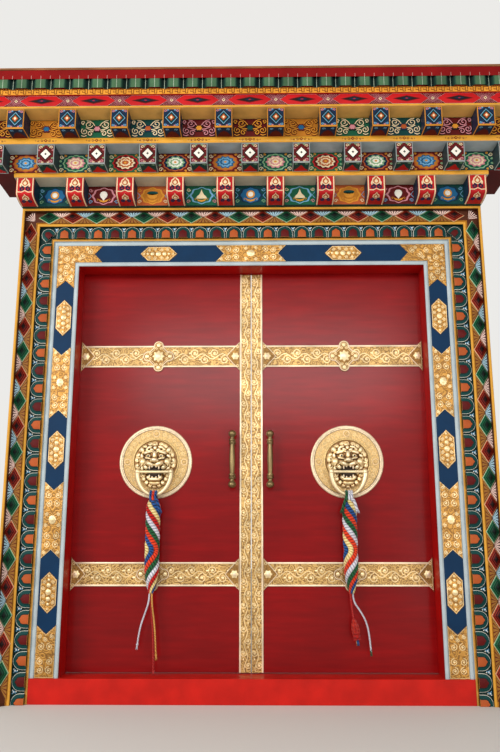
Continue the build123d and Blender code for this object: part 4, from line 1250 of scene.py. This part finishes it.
lozenge_rim = [(0, -105), (41, -63), (41, 63), (0, 105), (-41, 63), (-41, -63)]
lozenge_work = [thread(lozenge_rim, 2.0, smooth_gilt, closed=True)]
for y, wide in ((38, 11), (2, 15), (-34, 11), (66, 7), (-62, 7)):
    lozenge_work += [raised(circle(0, y, wide, count=20), 0, 2.0, smooth_gilt, soft=2.0)]
    lozenge_work += [raised(circle(0, y, wide * 0.6, count=16), 3.0, 5.0, smooth_gilt, soft=3.0)]
beside = ((25, 56, 1), (27, 22, -1), (27, -18, 1), (25, -52, -1))
lozenge_work += plate_scrolls([(s * x, y, s * way) for s in (-1, 1) for x, y, way in beside], 11, 2.0)
lozenge_work += plate_scrolls([(0, 88, 1), (0, -86, 1)], 7, 1.8)
group_rim = [(-50, -207), (0, -160), (50, -207), (50, 207), (0, 160), (-50, 207)]
group_work = [thread(group_rim, 2.0, smooth_gilt, closed=True)]
group_work += [raised(circle(0, 0, 22, 26, count=40, lobes=10, hollow=0.15), 0, 2.5, smooth_gilt, soft=3.0)]
group_work += [raised(circle(0, 0, 10, 12, count=16), 4, 6, smooth_gilt, soft=3.0)]
for way in (-1, 1):
    group_work += plate_scrolls(
        [(24, way * 88, way), (-24, way * 88, -way), (25, way * 135, -way), (-25, way * 135, way)], 20
    )
    group_work += plate_scrolls(
        [(36, way * 178, way), (-36, way * 178, -way), (34, way * 30, way), (-34, way * 30, -way)], 11
    )
foot_rim = [(-50, 4), (50, 4), (50, 264), (0, 218), (-50, 264)]
foot_work = [thread(foot_rim, 2.0, smooth_gilt, closed=True)]
foot_work += plate_scrolls(
    [(24, 40, 1), (-24, 40, -1), (24, 85, -1), (-24, 85, 1), (24, 160, 1), (-24, 160, -1)], 20
)
foot_work += plate_scrolls([(34, 212, 1), (-34, 212, -1), (0, 196, 1)], 12)
corner_work = plate_scrolls(
    [(0, -30, 1), (0, 22, -1), (0, -78, 1), (0, -122, -1), (-24, -160, 1), (24, -160, -1), (30, 30, 1)], 20
)
corner_work += plate_scrolls([(-56 - 42 * i, 14 * (-1) ** i, (-1) ** i) for i in range(3)], 18)
small = [(36 * s, y, s) for s in (-1, 1) for y in (-56, -100, -140)]
small += [(-40, -36, 1), (-80, -30, -1), (-120, 32, 1), (34, -14, 1)]
corner_work += plate_scrolls(small, 11, 2.0)
works = [joined(work) for work in (lozenge_work, group_work, foot_work, corner_work)]
plate_in, plate_y, plate_step = 0.076, -0.003, 0.781
plate_x, plate_z = half_opening + plate_in, lintel + plate_in
lozenges = [facing(s * plate_x, plate_y, 0.569 + plate_step * k) for s in (-1, 1) for k in range(3)]
lozenges += [facing(x, plate_y, plate_z, 90) for x in (-0.553, 0.553)]
groups = [facing(s * plate_x, plate_y, 0.9595 + plate_step * k) for s in (-1, 1) for k in range(2)]
groups += [facing(0, plate_y, plate_z, 90)]
feet = [facing(s * plate_x, plate_y, 0.129) for s in (-1, 1)]
flip = Matrix.Scale(-1, 4, (1, 0, 0))
corners = [facing(plate_x, plate_y, plate_z), flip @ facing(plate_x, plate_y, plate_z)]
pieces = []
for work, spots in zip(works, (lozenges, groups, feet, corners)):
    pieces += repeated(work, spots)
set_down(joined(pieces, "casing_scrolls"), "frame")

# %% [markdown]
# ## Lion heads
# The knockers are cast lion heads with the ring through the open mouth. A cast head has soft,
# full forms that melt into one another, so it is laid up from stretched balls like lumps of
# clay, fused by a voxel remesh and smoothed. How hollow each spot is gets stored on its point.
# The hollows are painted brown, as tarnish that polish never reaches and as painted shade, and
# the heights are painted pale, as rubbed polish and as a painted highlight.


# %% Clay tools
def lump(x, y, out, wide, high=None, deep=None, turn=0.0):
    """A stretched ball, drawn in mm, turned in the plane of the door."""
    high, deep = high or wide, deep or wide
    select_only()
    bpy.ops.mesh.primitive_uv_sphere_add(segments=24, ring_count=14, radius=0.001)
    ball = bpy.context.object
    spin = Matrix.Rotation(radians(turn), 4, "Z") @ Matrix.Diagonal((wide, high, deep, 1.0))
    ball.data.transform(Matrix.Translation((x / 1000, y / 1000, out / 1000)) @ spin)
    return ball


def both_sides(x, *rest, turn=0.0):
    return [lump(x, *rest, turn=turn), lump(-x, *rest, turn=-turn)]


def store_hollows(piece, passes=3):
    """Store how hollow each point is: the height of its neighbours above it, spread out."""
    mesh = piece.data
    level = [0.0] * len(mesh.vertices)
    near = [[] for _ in mesh.vertices]
    for edge in mesh.edges:
        a, b = edge.vertices
        near[a].append(b)
        near[b].append(a)
    for vertex in mesh.vertices:
        rise = [(mesh.vertices[n].co - vertex.co).dot(vertex.normal) for n in near[vertex.index]]
        level[vertex.index] = sum(rise) / max(len(rise), 1)
    for _ in range(passes):
        level = [(own + sum(level[n] for n in near[i])) / (1 + len(near[i])) for i, own in enumerate(level)]
    layer = mesh.attributes.new("hollow", "FLOAT", "POINT")
    for i, own in enumerate(level):
        layer.data[i].value = own * 1000


def gilding_with_painted_light(name, stops, span):
    """Gilt casting, brown in the hollows as tarnish and painted shade, pale on the heights as rubbed polish
    and a painted highlight.
    """
    made, tree, shader = material(name, 0.34, metallic=0.55)
    hollow = add(tree, "ShaderNodeAttribute", attribute_name="hollow")
    depth = add(
        tree, "ShaderNodeMapRange", {"Value": hollow.outputs["Fac"], "From Min": -span, "From Max": span}
    )
    aged(tree, shader, ramp(tree, depth.outputs[0], stops), grain_mm=2.0, bump=0.2, shade=0.25)
    return made


# %% The lion's head
head_scale = 1.13
lock_turns = [-46 + 17.0 * number for number in range(17)]
beard = [(0, -124), (22, -120), (42, -108), (58, -90)]
head = [lump(0, -4, 6, 84, 84, 40), lump(0, 30, 34, 52, 34, 22)]
head += [lump(0, 26, 62, 12, 26, 16), lump(0, 4, 80, 17, 12, 17)] + both_sides(13, 0, 76, 10, 9, 12)
head += both_sides(34, 46, 48, 27, 9, 13, turn=-16) + both_sides(16, 58, 50, 13, 8, 10, turn=30)
head += [lump(0, 66, 44, 11, 14, 10), lump(0, 84, 30, 15, 11, 12)]
head += both_sides(30, 72, 34, 17, 9, 12, turn=-20)
head += both_sides(33, 26, 54, 12, 10, 11) + both_sides(33, 14, 52, 20, 5, 9, turn=12)
head += both_sides(23, -15, 68, 24, 13, 21, turn=24) + both_sides(45, -30, 50, 15, 12, 16, turn=40)
head += both_sides(62, -4, 32, 20, 22, 20) + both_sides(60, -60, 14, 22, 30, 16)
head += both_sides(66, 56, 30, 13, 20, 12, turn=-30)
head += [lump(0, -92, 46, 34, 11, 24), lump(0, -108, 34, 30, 16, 22)]
head += both_sides(30, -84, 44, 12, 10, 20, turn=35)
for number, turn in enumerate(lock_turns):
    x, y = cos(radians(turn)), sin(radians(turn))
    head.append(lump(93 * x, 93 * y - 2, 16, 12, 21, 18, turn=turn + (24 if number % 2 else -24)))
    head.append(lump(74 * x, 74 * y, 28, 10, 17, 15, turn=turn + (-30 if number % 2 else 30)))
for x, y in beard:
    head += [lump(x, y, 26, 13, 13, 16)] if x == 0 else both_sides(x, y, 24, 13, 13, 16)
cast_head = joined(head, "cast_head")
cast_head.data.transform(Matrix.Diagonal((head_scale, head_scale, 1.0, 1.0)))
modified(cast_head, "REMESH", mode="VOXEL", voxel_size=0.0027)
modified(cast_head, "SMOOTH", factor=0.5, iterations=3)
store_hollows(cast_head)
# Painted shade in the hollows and a painted highlight on the heights, together with the tarnish and polish of
# wear.
head_gilding_with_painted_light = gilding_with_painted_light(
    "gilt_cast_brass_painted_light", [(0.0, "FBEBC4"), (0.4, "E9CB8D"), (0.56, "A87432"), (0.85, "4A2C0E")], 0.2
)
cast_head.data.materials.append(head_gilding_with_painted_light)
print("cast head points:", len(cast_head.data.vertices))

# %% [markdown]
# ## Curls, teeth and eyes
# Locks of the mane end in chased spirals, too fine for the remesh, so they are piped on after
# it. A dark lump inside the open mouth is painted shade, with fangs above and below the bar of the ring.

# %% Chasing on the head
# A dark lump in the mouth is painted shade for the hollow inside it.
chasing = [lump(0, -54, 38, 40, 30, 18)]
chasing[0].data.materials.append(cast_metal("mouth_painted_shade", "2B1A0C", 0.7, metallic=0.2))
for number, turn in enumerate(lock_turns):
    x, y = 93 * cos(radians(turn)), 93 * sin(radians(turn)) - 2
    lock = spiral(x, y, 15, 3, turn + 180, 1.2 if number % 2 else -1.2, count=18)
    chasing.append(thread([(px, py, 31 + 4 * i / 17) for i, (px, py) in enumerate(lock)], 2.0, smooth_gilt))
for x, y in beard + mirror_points(beard[1:]):
    curl = spiral(x, y, 9, 2, 90, 1.3 if x >= 0 else -1.3)
    chasing.append(thread([(*point, 38) for point in curl], 1.8, smooth_gilt))
for sign in (-1, 1):
    for x, y, top, length in ((24, -27, 76, -15), (10, -25, 80, -8), (24, -84, 66, 13), (10, -86, 68, 7)):
        chasing.append(lump(sign * x, y + length / 2, top - 6, 4, abs(length) / 2 + 2, 5))
        chasing[-1].data.materials.append(pale_gilt)
    pupil = raised(circle(33, 25, 5, count=12), 63, 65.5, iron, soft=1.0)
    if sign < 0:
        pupil.data.transform(Matrix.Translation((-0.066, 0, 0)))
    chasing.append(pupil)
    brow = [(sign * x, y, z) for x, y, z in ((8, 44, 64), (22, 52, 62), (40, 54, 58), (56, 46, 48))]
    chasing.append(thread(brow, 2.4, smooth_gilt))
    whisker = [
        (sign * x, y, z)
        for x, y, z in ((30, -8, 88), (46, -16, 76), (60, -30, 60), (68, -24, 54), (64, -16, 54))
    ]
    chasing.append(thread(whisker, 2.6, smooth_gilt))
chasing = joined(chasing)
chasing.data.transform(Matrix.Diagonal((head_scale, head_scale, 1.0, 1.0)))
chased = joined([cast_head, chasing], "lion_head")
for side, sign in sides:
    head = repeated(chased, [facing(sign * knocker_x, 0.150, knocker_z)], keep=True)[0]
    head.name = "lion_head_" + side
    set_down(head, "leaf_" + side, "lion_mask_" + side)
bpy.data.objects.remove(chased)

# %% [markdown]
# ## Knocker rings
# A cast ring is thickest at the knuckles beside the mouth and thins towards the bottom. It is a
# tube along half an ellipse whose radius changes from point to point, closed by the bar.


# %% Tube along a line, and the rings
def rope(line, radius, finish, around=10):
    """A tube along points in metres, closed at its ends; radius in mm, one or one a point."""
    radii = radius if isinstance(radius, list) else [radius] * len(line)
    line = [Vector(point) for point in line]
    select_only()
    bpy.ops.mesh.primitive_grid_add(x_subdivisions=len(line) + 1, y_subdivisions=around, size=2)
    tube = bpy.context.object
    frames, side = [], Vector((0.3, 1.0, 0.1))
    for i, point in enumerate(line):
        ahead = (line[min(i + 1, len(line) - 1)] - line[max(i - 1, 0)]).normalized()
        side = (side - ahead * side.dot(ahead)).normalized()
        frames.append((point, side, ahead.cross(side)))
    for vertex in tube.data.vertices:
        column = round((vertex.co.x + 1) / 2 * (len(line) + 1))
        turn = pi * (vertex.co.y + 1)
        own = min(max(column - 1, 0), len(line) - 1)
        point, side, across = frames[own]
        reach = 0.0 if column in (0, len(line) + 1) else radii[own] / 1000
        vertex.co = point + (side * cos(turn) + across * sin(turn)) * reach
    length = sum((b - a).length for a, b in zip(line, line[1:]))
    for corner in tube.data.uv_layers.active.data:
        corner.uv.x *= length * 100
    bpy.ops.object.mode_set(mode="EDIT")
    bpy.ops.mesh.select_all(action="SELECT")
    bpy.ops.mesh.remove_doubles(threshold=0.00001)
    bpy.ops.mesh.normals_make_consistent(inside=False)
    bpy.ops.object.mode_set(mode="OBJECT")
    tube.data.materials.append(finish)
    return tube


ring_gilt = cast_metal("gilt_worn_ring", "EFD9AC", 0.33, metallic=0.5)
ring_half = 0.098
turns = [pi * step / 40 for step in range(41)]
for side, sign in sides:
    x, y, z = sign * knocker_x, ring_y, mouth_z
    bail = [(x + ring_half * cos(t), y, z - 0.131 * sin(t)) for t in turns]
    shapes = [rope(bail, [9.0 + 5.0 * abs(cos(t)) ** 1.5 for t in turns], ring_gilt, around=14)]
    shapes += [rope([(x - ring_half, y, z), (x, y, z), (x + ring_half, y, z)], 8.0, ring_gilt)]
    for knuckle in (-1, 1):
        knob = [
            (x + knuckle * (ring_half + out), y, z)
            for out in (-0.017, -0.014, -0.007, 0.0, 0.006, 0.011, 0.013)
        ]
        shapes.append(rope(knob, [6.0, 11.5, 15.5, 17.0, 15.5, 10.5, 5.0], ring_gilt, around=14))
    set_down(joined(shapes, "cast_ring_" + side), "ring_" + side, "knocker_ring_" + side)

# %% [markdown]
# ## Turned handles
# The pull handles are turned brass bars with ball ends, a neck, a double collar where each post
# joins and a slight swell in the middle. A lathe profile is a radius at each height, which is
# what the tube helper takes.

# %% Handles on their posts
half_profile = [
    (0, 16.5), (30, 16.0), (70, 14.0), (84, 13.0), (86, 18.0), (94, 19.5), (98, 15.5), (102, 15.5),
    (106, 19.5), (114, 18.0), (117, 12.5), (124, 11.5), (129, 14.0), (136, 19.5), (144, 22.5),
    (151, 22.5), (159, 18.5), (165, 11.5), (168, 4.0),
]
profile_up = [(-height, radius) for height, radius in half_profile[:0:-1]] + half_profile
for side, sign in sides:
    x, y, middle = sign * 0.110, 0.098, 1.3075
    lathe_line = [(x, y, middle + height / 1000) for height, _ in profile_up]
    shapes = [rope(lathe_line, [radius for _, radius in profile_up], bronze, around=20)]
    for z in (middle - 0.100, middle + 0.100):
        post = [(x, out, z) for out in (0.100, 0.125, 0.1435)]
        shapes.append(rope(post, [9.0, 8.0, 11.0], bronze, around=14))
        foot = [(x, out, z) for out in (0.1420, 0.1430, 0.1460, 0.1500)]
        shapes.append(rope(foot, [12.0, 17.0, 19.0, 19.0], bronze, around=20))
    set_down(joined(shapes, "turned_handle_" + side), "leaf_" + side, "pull_handle_" + side)

# %% [markdown]
# ## Chased plates
# The round plate behind each head is chased with two lines, a ring of scrolls between the four
# bosses and a thin ring round each boss.

# %% Lines and scrolls on the plates
plate_work = [
    thread(circle(0, 0, r, count=72), w, pale_gilt, closed=True) for r, w in ((204, 5.0), (131, 4.5))
]
for number in range(32):
    turn = 360 * (number + 0.5) / 32
    x, y = 168 * cos(radians(turn)), 168 * sin(radians(turn))
    if abs((turn + 45) % 90 - 45) > 7:
        way = 1 if number % 2 else -1
        plate_work.append(thread(spiral(x, y, 13, 2.5, turn + 90 * way, way * 1.4), 1.5, smooth_gilt))
for number in range(4):
    x, y = 166 * cos(number * pi / 2), 166 * sin(number * pi / 2)
    plate_work.append(thread(circle(x, y, 17, count=20), 1.4, pale_gilt, closed=True))
plate_work = joined(plate_work)
for side, sign in sides:
    chased = repeated(plate_work, [facing(sign * knocker_x, 0.145, knocker_z)], keep=True)[0]
    chased.name = "plate_chasing_" + side
    set_down(chased, "leaf_" + side)
bpy.data.objects.remove(plate_work)

# %% [markdown]
# ## Cotton ropes
# The tassels are plaited from thick dyed cotton ropes, themselves laid up from twisted yarn. A
# rope is made as the rings are, a grid rolled into a tube along a line. The grid's own map runs
# along and round it, so the twist of the yarn can follow the rope wherever it turns.


# %% Dyed cotton
def dyed_cotton(name, code, deep, yarn_mm=15.0):
    """Twisted yarn: slanting turns with painted shade between them in the darker colour, drawn coarse enough
    to show.
    """
    made, tree, shader = material("cotton_" + name, 0.9)
    shader.inputs["Sheen Weight"].default_value = 0.25
    split = add(tree, "ShaderNodeSeparateXYZ", {"Vector": add(tree, "ShaderNodeTexCoord").outputs["UV"]})
    turns = maths(tree, "MULTIPLY", split.outputs["X"], 20 * pi / yarn_mm)
    wave = maths(tree, "SINE", maths(tree, "MULTIPLY_ADD", split.outputs["Y"], 4 * pi, turns))
    body = add(tree, "ShaderNodeMapRange", {"Value": wave, "From Min": -1.0, "From Max": 0.1}).outputs[0]
    mottled(tree, shader, ramp(tree, body, [(0.0, deep), (0.35, deep), (0.75, code)]))
    fluff = add(tree, "ShaderNodeTexNoise", {"Vector": own_place(tree), "Scale": 600.0, "Detail": 2.0})
    bumped(tree, shader, maths(tree, "MULTIPLY_ADD", fluff.outputs["Fac"], 0.25, body), 0.7, 0.002)
    return made


# Each dye is given with a darker copy of itself, the painted shade in the grooves between turns of yarn.
cottons = {
    name: dyed_cotton(name, code, deep)
    for name, (code, deep) in {
        "cream": ("EAD695", "B99B55"),
        "blue": ("1F5090", "0C2140"),
        "orange": ("E2401C", "8E1D0B"),
        "green": ("1F5C34", "0B2A18"),
        "white": ("D9D7DE", "9A9AA8"),
        "red": ("C41A10", "6E0A08"),
        "yellow": ("E3A851", "9A6220"),
    }.items()
}

# %% [markdown]
# ## The plaits
# Six ropes wind round one another from the ring down, right over left, and from half way back
# the other way, as hand-plaited tassels do. Each rope follows a screw line whose radius is that
# of the plait less the rope's own.

# %% Winding the plaits
plait_top, plait_length = 1.072, 0.512


def plait_reach(depth):
    """Outer radius in mm at a depth in mm below the shoulder."""
    left = 1000 * plait_length - depth
    if depth < 40:
        return 24 + 18 * sin(pi / 2 * depth / 40)
    return 15 + 27 * sin(pi / 2 * left / 150) if left < 150 else 42


def wound(depth):
    """How far the ropes have turned, in degrees; the turn eases over at the middle."""
    reversal, ease = 278, 30
    if abs(depth - reversal) < ease:
        return 360 / 250 * (reversal - ease + (ease**2 - (depth - reversal) ** 2) / (2 * ease))
    return 360 / 250 * (depth if depth < reversal else 2 * reversal - depth)


def plait_rope(x, finish, start):
    line, radii = [], []
    for station in range(97):
        depth = 1000 * plait_length * station / 96
        reach = plait_reach(depth)
        radius = 0.335 * reach
        turn = radians(wound(depth) + start)
        middle = (reach - radius) / 1000
        line.append((x + middle * cos(turn), ring_y + middle * sin(turn), plait_top - depth / 1000))
        radii.append(radius)
    return rope(line, radii, finish)


def over_the_ring(x, finish, lean=0.0):
    """A loop over the bottom of the ring, both legs going down into the plait."""
    line = [(x + lean, ring_y - 0.017, plait_top - 0.012)]
    line.append((x + lean * 0.5, ring_y - 0.020, plait_top + 0.008))
    for step in range(13):
        turn = pi * step / 12
        line.append((x, ring_y - 0.0195 * cos(turn), 1.102 + 0.0195 * sin(turn)))
    line += [(x, ring_y + 0.019, plait_top), (x, ring_y + 0.015, plait_top - 0.02)]
    return rope(line, 7.5, finish, around=8)


loose_route = [  # how far sideways, out and up from the shoulder of the plait, in metres
    (0.004, 0.022, 0.004), (0.012, 0.028, -0.002), (0.020, 0.030, -0.022),
    (0.027, 0.029, -0.046), (0.031, 0.028, -0.062),
]


def loose_end(x, side, finish):
    """A rope end that sticks out beside the loops, frayed at its tip."""
    line = [(x + side * s, ring_y - f, plait_top + h) for s, f, h in loose_route]
    shapes = [rope(line, [8.0, 8.5, 8.5, 8.5, 9.0], finish, around=8)]
    end = Vector(line[-1])
    for number in range(12):
        turn = 2 * pi * number / 12
        foot = end + Vector((0.007 * cos(turn), 0.006 * sin(turn), 0.006))
        out, drop = 0.004 * cos(turn) + 0.002 * side, 0.014 + 0.003 * (number % 3)
        tip = foot + Vector((out, 0.003 * sin(turn), -drop))
        shapes.append(rope([foot, (foot + tip) / 2, tip], 1.6, finish, around=5))
    return shapes


orders = {
    "left": ("blue", "orange", "green", "white", "red", "cream"),
    "right": ("cream", "orange", "white", "green", "orange", "blue"),
}
for side, sign in sides:
    x = sign * knocker_x
    shapes = [plait_rope(x, cottons[tone], 250 + 60 * number) for number, tone in enumerate(orders[side])]
    first, second = ("blue", "orange") if side == "left" else ("green", "white")
    third = "blue" if side == "left" else "white"
    shapes += [over_the_ring(x - 0.015, cottons[first])]
    shapes += [over_the_ring(x, cottons[second], lean=-0.004)]
    shapes += [over_the_ring(x + 0.014, cottons[third])]
    shapes += loose_end(x + 0.010, 1, cottons[third])
    if side == "right":
        shapes += loose_end(x - 0.012, -1, cottons[first])
    set_down(joined(shapes, "rope_plait_" + side), "tassel_" + side, "plait_" + side)

# %% [markdown]
# ## Hanging tails
# Thin cords hang on below the plaits. Each is laid up from three yarns that twist round a smooth
# line, a NURBS spline guided by the cord's own few points. The red one on the right ends in a
# skirt of red yarn, the others in a knot with a short fringe.


# %% Twisted cords and knots
def smooth_line(points):
    """Points along a NURBS spline of order 3 that starts and ends at its control points."""
    curve = bpy.data.curves.new("route", "CURVE")
    curve.dimensions = "3D"
    curve.resolution_u = 24
    spline = curve.splines.new("NURBS")
    spline.points.add(len(points) - 1)
    for point, place in zip(spline.points, points):
        point.co = (*place, 1)
    spline.order_u = 3
    spline.use_endpoint_u = True
    holder = bpy.data.objects.new("route", curve)
    bpy.context.collection.objects.link(holder)
    mesh = bpy.data.meshes.new_from_object(holder)
    line = [vertex.co.copy() for vertex in mesh.vertices]
    bpy.data.objects.remove(holder)
    return line


def twisted(line, finish, pitch=0.016):
    """Three yarns of 2.8 mm radius round the line."""
    yarns = []
    for yarn in range(3):
        gone, points = 0.0, []
        for i, point in enumerate(line):
            gone += (point - line[i - 1]).length if i else 0.0
            ahead = (line[min(i + 1, len(line) - 1)] - line[max(i - 1, 0)]).normalized()
            side = ahead.cross(Vector((0, 1, 0))).normalized()
            turn = 2 * pi * (gone / pitch + yarn / 3)
            points.append(point + (side * cos(turn) + side.cross(ahead) * sin(turn)) * 0.0024)
        yarns.append(rope(points, 2.8, finish, around=6))
    return yarns


def hanging(end, ahead):
    """Placement at the end of a cord, with Z along it."""
    return Matrix.Translation(end) @ ahead.to_track_quat("Z", "Y").to_matrix().to_4x4()


def knot(end, ahead, finish, fringe=0.022, wide=7.0):
    """Two crossed turns of cord round the end, and a fringe of yarn under them."""
    hung = hanging(end, ahead)
    shapes = []
    for tilt, rise in ((0.5, -0.007), (-0.5, -0.003)):
        loop = []
        for step in range(17):
            turn = 2 * pi * step / 16
            x, y = wide / 1800 * cos(turn), wide / 1800 * sin(turn)
            loop.append(hung @ Vector((x, y, rise + tilt * 0.004 * cos(turn))))
        shapes.append(rope(loop, wide * 0.4, finish, around=7))
    for number in range(10):
        turn = 2.4 * number
        out = 0.0008 * number ** 0.5
        foot = hung @ Vector((out * cos(turn), out * sin(turn), 0))
        length = fringe * (0.8 + 0.07 * (number % 4))
        tip = hung @ Vector((3.2 * out * cos(turn), 3.2 * out * sin(turn), length))
        bend = foot.lerp(tip, 0.5) + Vector((0.0008 * sin(turn), 0, 0))
        shapes.append(rope([foot, bend, tip], [1.2, 1.5, 0.8], finish, around=5))
    return shapes


tails = {
    "tail_white_left": (
        "white",
        0.2842,
        [
            (-0.566, 0.090, 0.560), (-0.566, 0.090, 0.518), (-0.590, 0.088, 0.446),
            (-0.615, 0.086, 0.372), (-0.626, 0.088, 0.284),
        ],
    ),
    "tail_yellow_left": (
        "yellow",
        0.3320,
        [
            (-0.552, 0.087, 0.560), (-0.552, 0.087, 0.512), (-0.538, 0.085, 0.430),
            (-0.526, 0.083, 0.330), (-0.521, 0.087, 0.230),
        ],
    ),
    "tail_red_left": (
        "red",
        0.4152,
        [
            (-0.558, 0.101, 0.560), (-0.558, 0.101, 0.510), (-0.549, 0.097, 0.424),
            (-0.540, 0.091, 0.330), (-0.536, 0.090, 0.238), (-0.534, 0.091, 0.146),
        ],
    ),
    "tail_red_right": ("red", 0.1369, [(0.551, 0.090, 0.560), (0.551, 0.090, 0.510), (0.564, 0.087, 0.424)]),
    "tail_white_right": (
        "white",
        0.3303,
        [
            (0.565, 0.095, 0.560), (0.565, 0.095, 0.518), (0.600, 0.090, 0.470),
            (0.634, 0.087, 0.410), (0.649, 0.085, 0.330), (0.654, 0.088, 0.250),
        ],
    ),
}
cords, tail_ends = {}, {}
for name, (tone, length, points) in tails.items():
    line = smooth_line(points)
    cords[name] = (joined(twisted(line, cottons[tone]), "cord_" + name[5:]), line, length, points[0])
    tail_ends[name] = (Vector(points[-1]), (Vector(points[-1]) - Vector(points[-2])).normalized())
    print(name, "line", round(sum((b - a).length for a, b in zip(line, line[1:])), 4), "m")


# %% Tassel skirt, knots and cords set down
def skirt(end, ahead):
    """A bell of red yarn, gathered at its neck, a shorter layer over a longer, and a blue tuft."""
    hung = hanging(end, ahead)
    core = [hung @ Vector((0, 0, z)) for z in (0.0, 0.008, 0.030, 0.060, 0.085, 0.106)]
    shapes = [rope(core, [6.0, 6.0, 11.0, 17.0, 18.0, 16.0], cottons["red"], around=14)]
    for number in range(44):
        turn = 2 * pi * number / 44
        low = 0.110 if number % 2 else 0.074
        wide = 0.0190 if number % 2 else 0.0205
        yarn = []
        for share in (0.0, 0.12, 0.35, 0.6, 0.8, 1.0):
            reach = 0.007 + (wide - 0.007) * sin(pi / 2 * min(1.0, share * low / 0.060))
            sway = turn + 0.05 * sin(6 * share + number)
            yarn.append(hung @ Vector((reach * cos(sway), reach * sin(sway), share * low)))
        shapes.append(rope(yarn, 1.5, cottons["orange" if number % 6 == 0 else "red"], around=5))
    neck = [hung @ Vector((0.0075 * cos(t * pi / 8), 0.0075 * sin(t * pi / 8), 0.006)) for t in range(17)]
    shapes.append(rope(neck, 2.4, cottons["yellow"], around=6))
    for number in range(18):
        turn = 2.4 * number
        out = 0.0017 * number ** 0.5
        tone = "yellow" if number % 5 == 0 else "blue"
        foot = hung @ Vector((out * cos(turn), out * sin(turn), 0.104))
        tip = hung @ Vector((1.1 * out * cos(turn), 1.1 * out * sin(turn), 0.138 + 0.001 * (number % 4)))
        shapes.append(rope([foot, foot.lerp(tip, 0.5), tip], [1.8, 1.9, 1.2], cottons[tone], around=5))
    return shapes


ends = {"tail_red_right": joined(skirt(*tail_ends["tail_red_right"]), "tassel_skirt_right")}
set_down(ends["tail_red_right"], "tassel_right", "tail_ends_right")
for name in ("tail_white_left", "tail_yellow_left", "tail_red_left", "tail_white_right"):
    tone = "green" if name == "tail_white_right" else tails[name][0]
    ends[name] = joined(knot(*tail_ends[name], cottons[tone]), "knot_" + name[5:])
    set_down(ends[name], "tassel_" + name.rsplit("_", 1)[1])
for name, (cord, line, length, exit_) in cords.items():
    body = "tassel_" + name.rsplit("_", 1)[1]
    set_down(cord, body, name)

# %% [markdown]
# ## Stage, light and camera
# The door stands on a plain pale floor. Three large soft lamps in front of it and an even sky
# light it; the camera looks slightly up, as a visitor does.

# %% Floor, sky and lamps
select_only()
bpy.ops.mesh.primitive_plane_add(size=40, location=(0, 0, -0.001))
floor = bpy.context.object
floor.name = "floor"
floor_paint, tree, shader = material("pale_floor", 0.8)
shader.inputs["Base Color"].default_value = colour("D9D7D2")
floor.data.materials.append(floor_paint)

world = bpy.data.worlds.new("sky")
bpy.context.scene.world = world
world.use_nodes = True
tree = world.node_tree
tree.nodes.clear()
path = add(tree, "ShaderNodeLightPath")
soft = add(tree, "ShaderNodeBackground", {"Color": colour("F1EEE9"), "Strength": 0.5})
pale = add(tree, "ShaderNodeBackground", {"Color": colour("ECEBE8"), "Strength": 1.0})
direct = maths(tree, "MAXIMUM", path.outputs["Is Camera Ray"], path.outputs["Is Glossy Ray"])
through = maths(tree, "MAXIMUM", direct, path.outputs["Is Transmission Ray"])
seen = add(tree, "ShaderNodeMixShader", {0: through, 1: soft.outputs[0], 2: pale.outputs[0]})
add(tree, "ShaderNodeOutputWorld", {"Surface": seen.outputs[0]})


def lamp(name, place, target, wide, high, power):
    data = bpy.data.lights.new(name, "AREA")
    data.shape = "RECTANGLE"
    data.size, data.size_y = wide, high
    data.energy = power
    made = bpy.data.objects.new(name, data)
    made.location = place
    made.rotation_euler = (Vector(target) - Vector(place)).to_track_quat("-Z", "Y").to_euler()
    bpy.context.collection.objects.link(made)


lamp("key", (-4.6, -5.0, 3.4), (0, 0, 1.6), 3.0, 3.0, 280)
lamp("window", (0.2, -8.0, 3.7), (0, 0, 1.6), 4.6, 1.5, 230)
lamp("fill", (3.6, -5.0, 0.7), (0, 0, 2.6), 3.0, 3.0, 100)
bpy.context.scene.view_settings.view_transform = "Standard"

camera_data = bpy.data.cameras.new("visitor")
camera_data.sensor_width = 36.0
camera_data.lens = 35.91
camera = bpy.data.objects.new("visitor", camera_data)
camera.location = (0.0547, -4.238, 0.841)
camera.rotation_euler = (radians(102.44), 0, radians(0.81))
bpy.context.collection.objects.link(camera)
bpy.context.scene.camera = camera
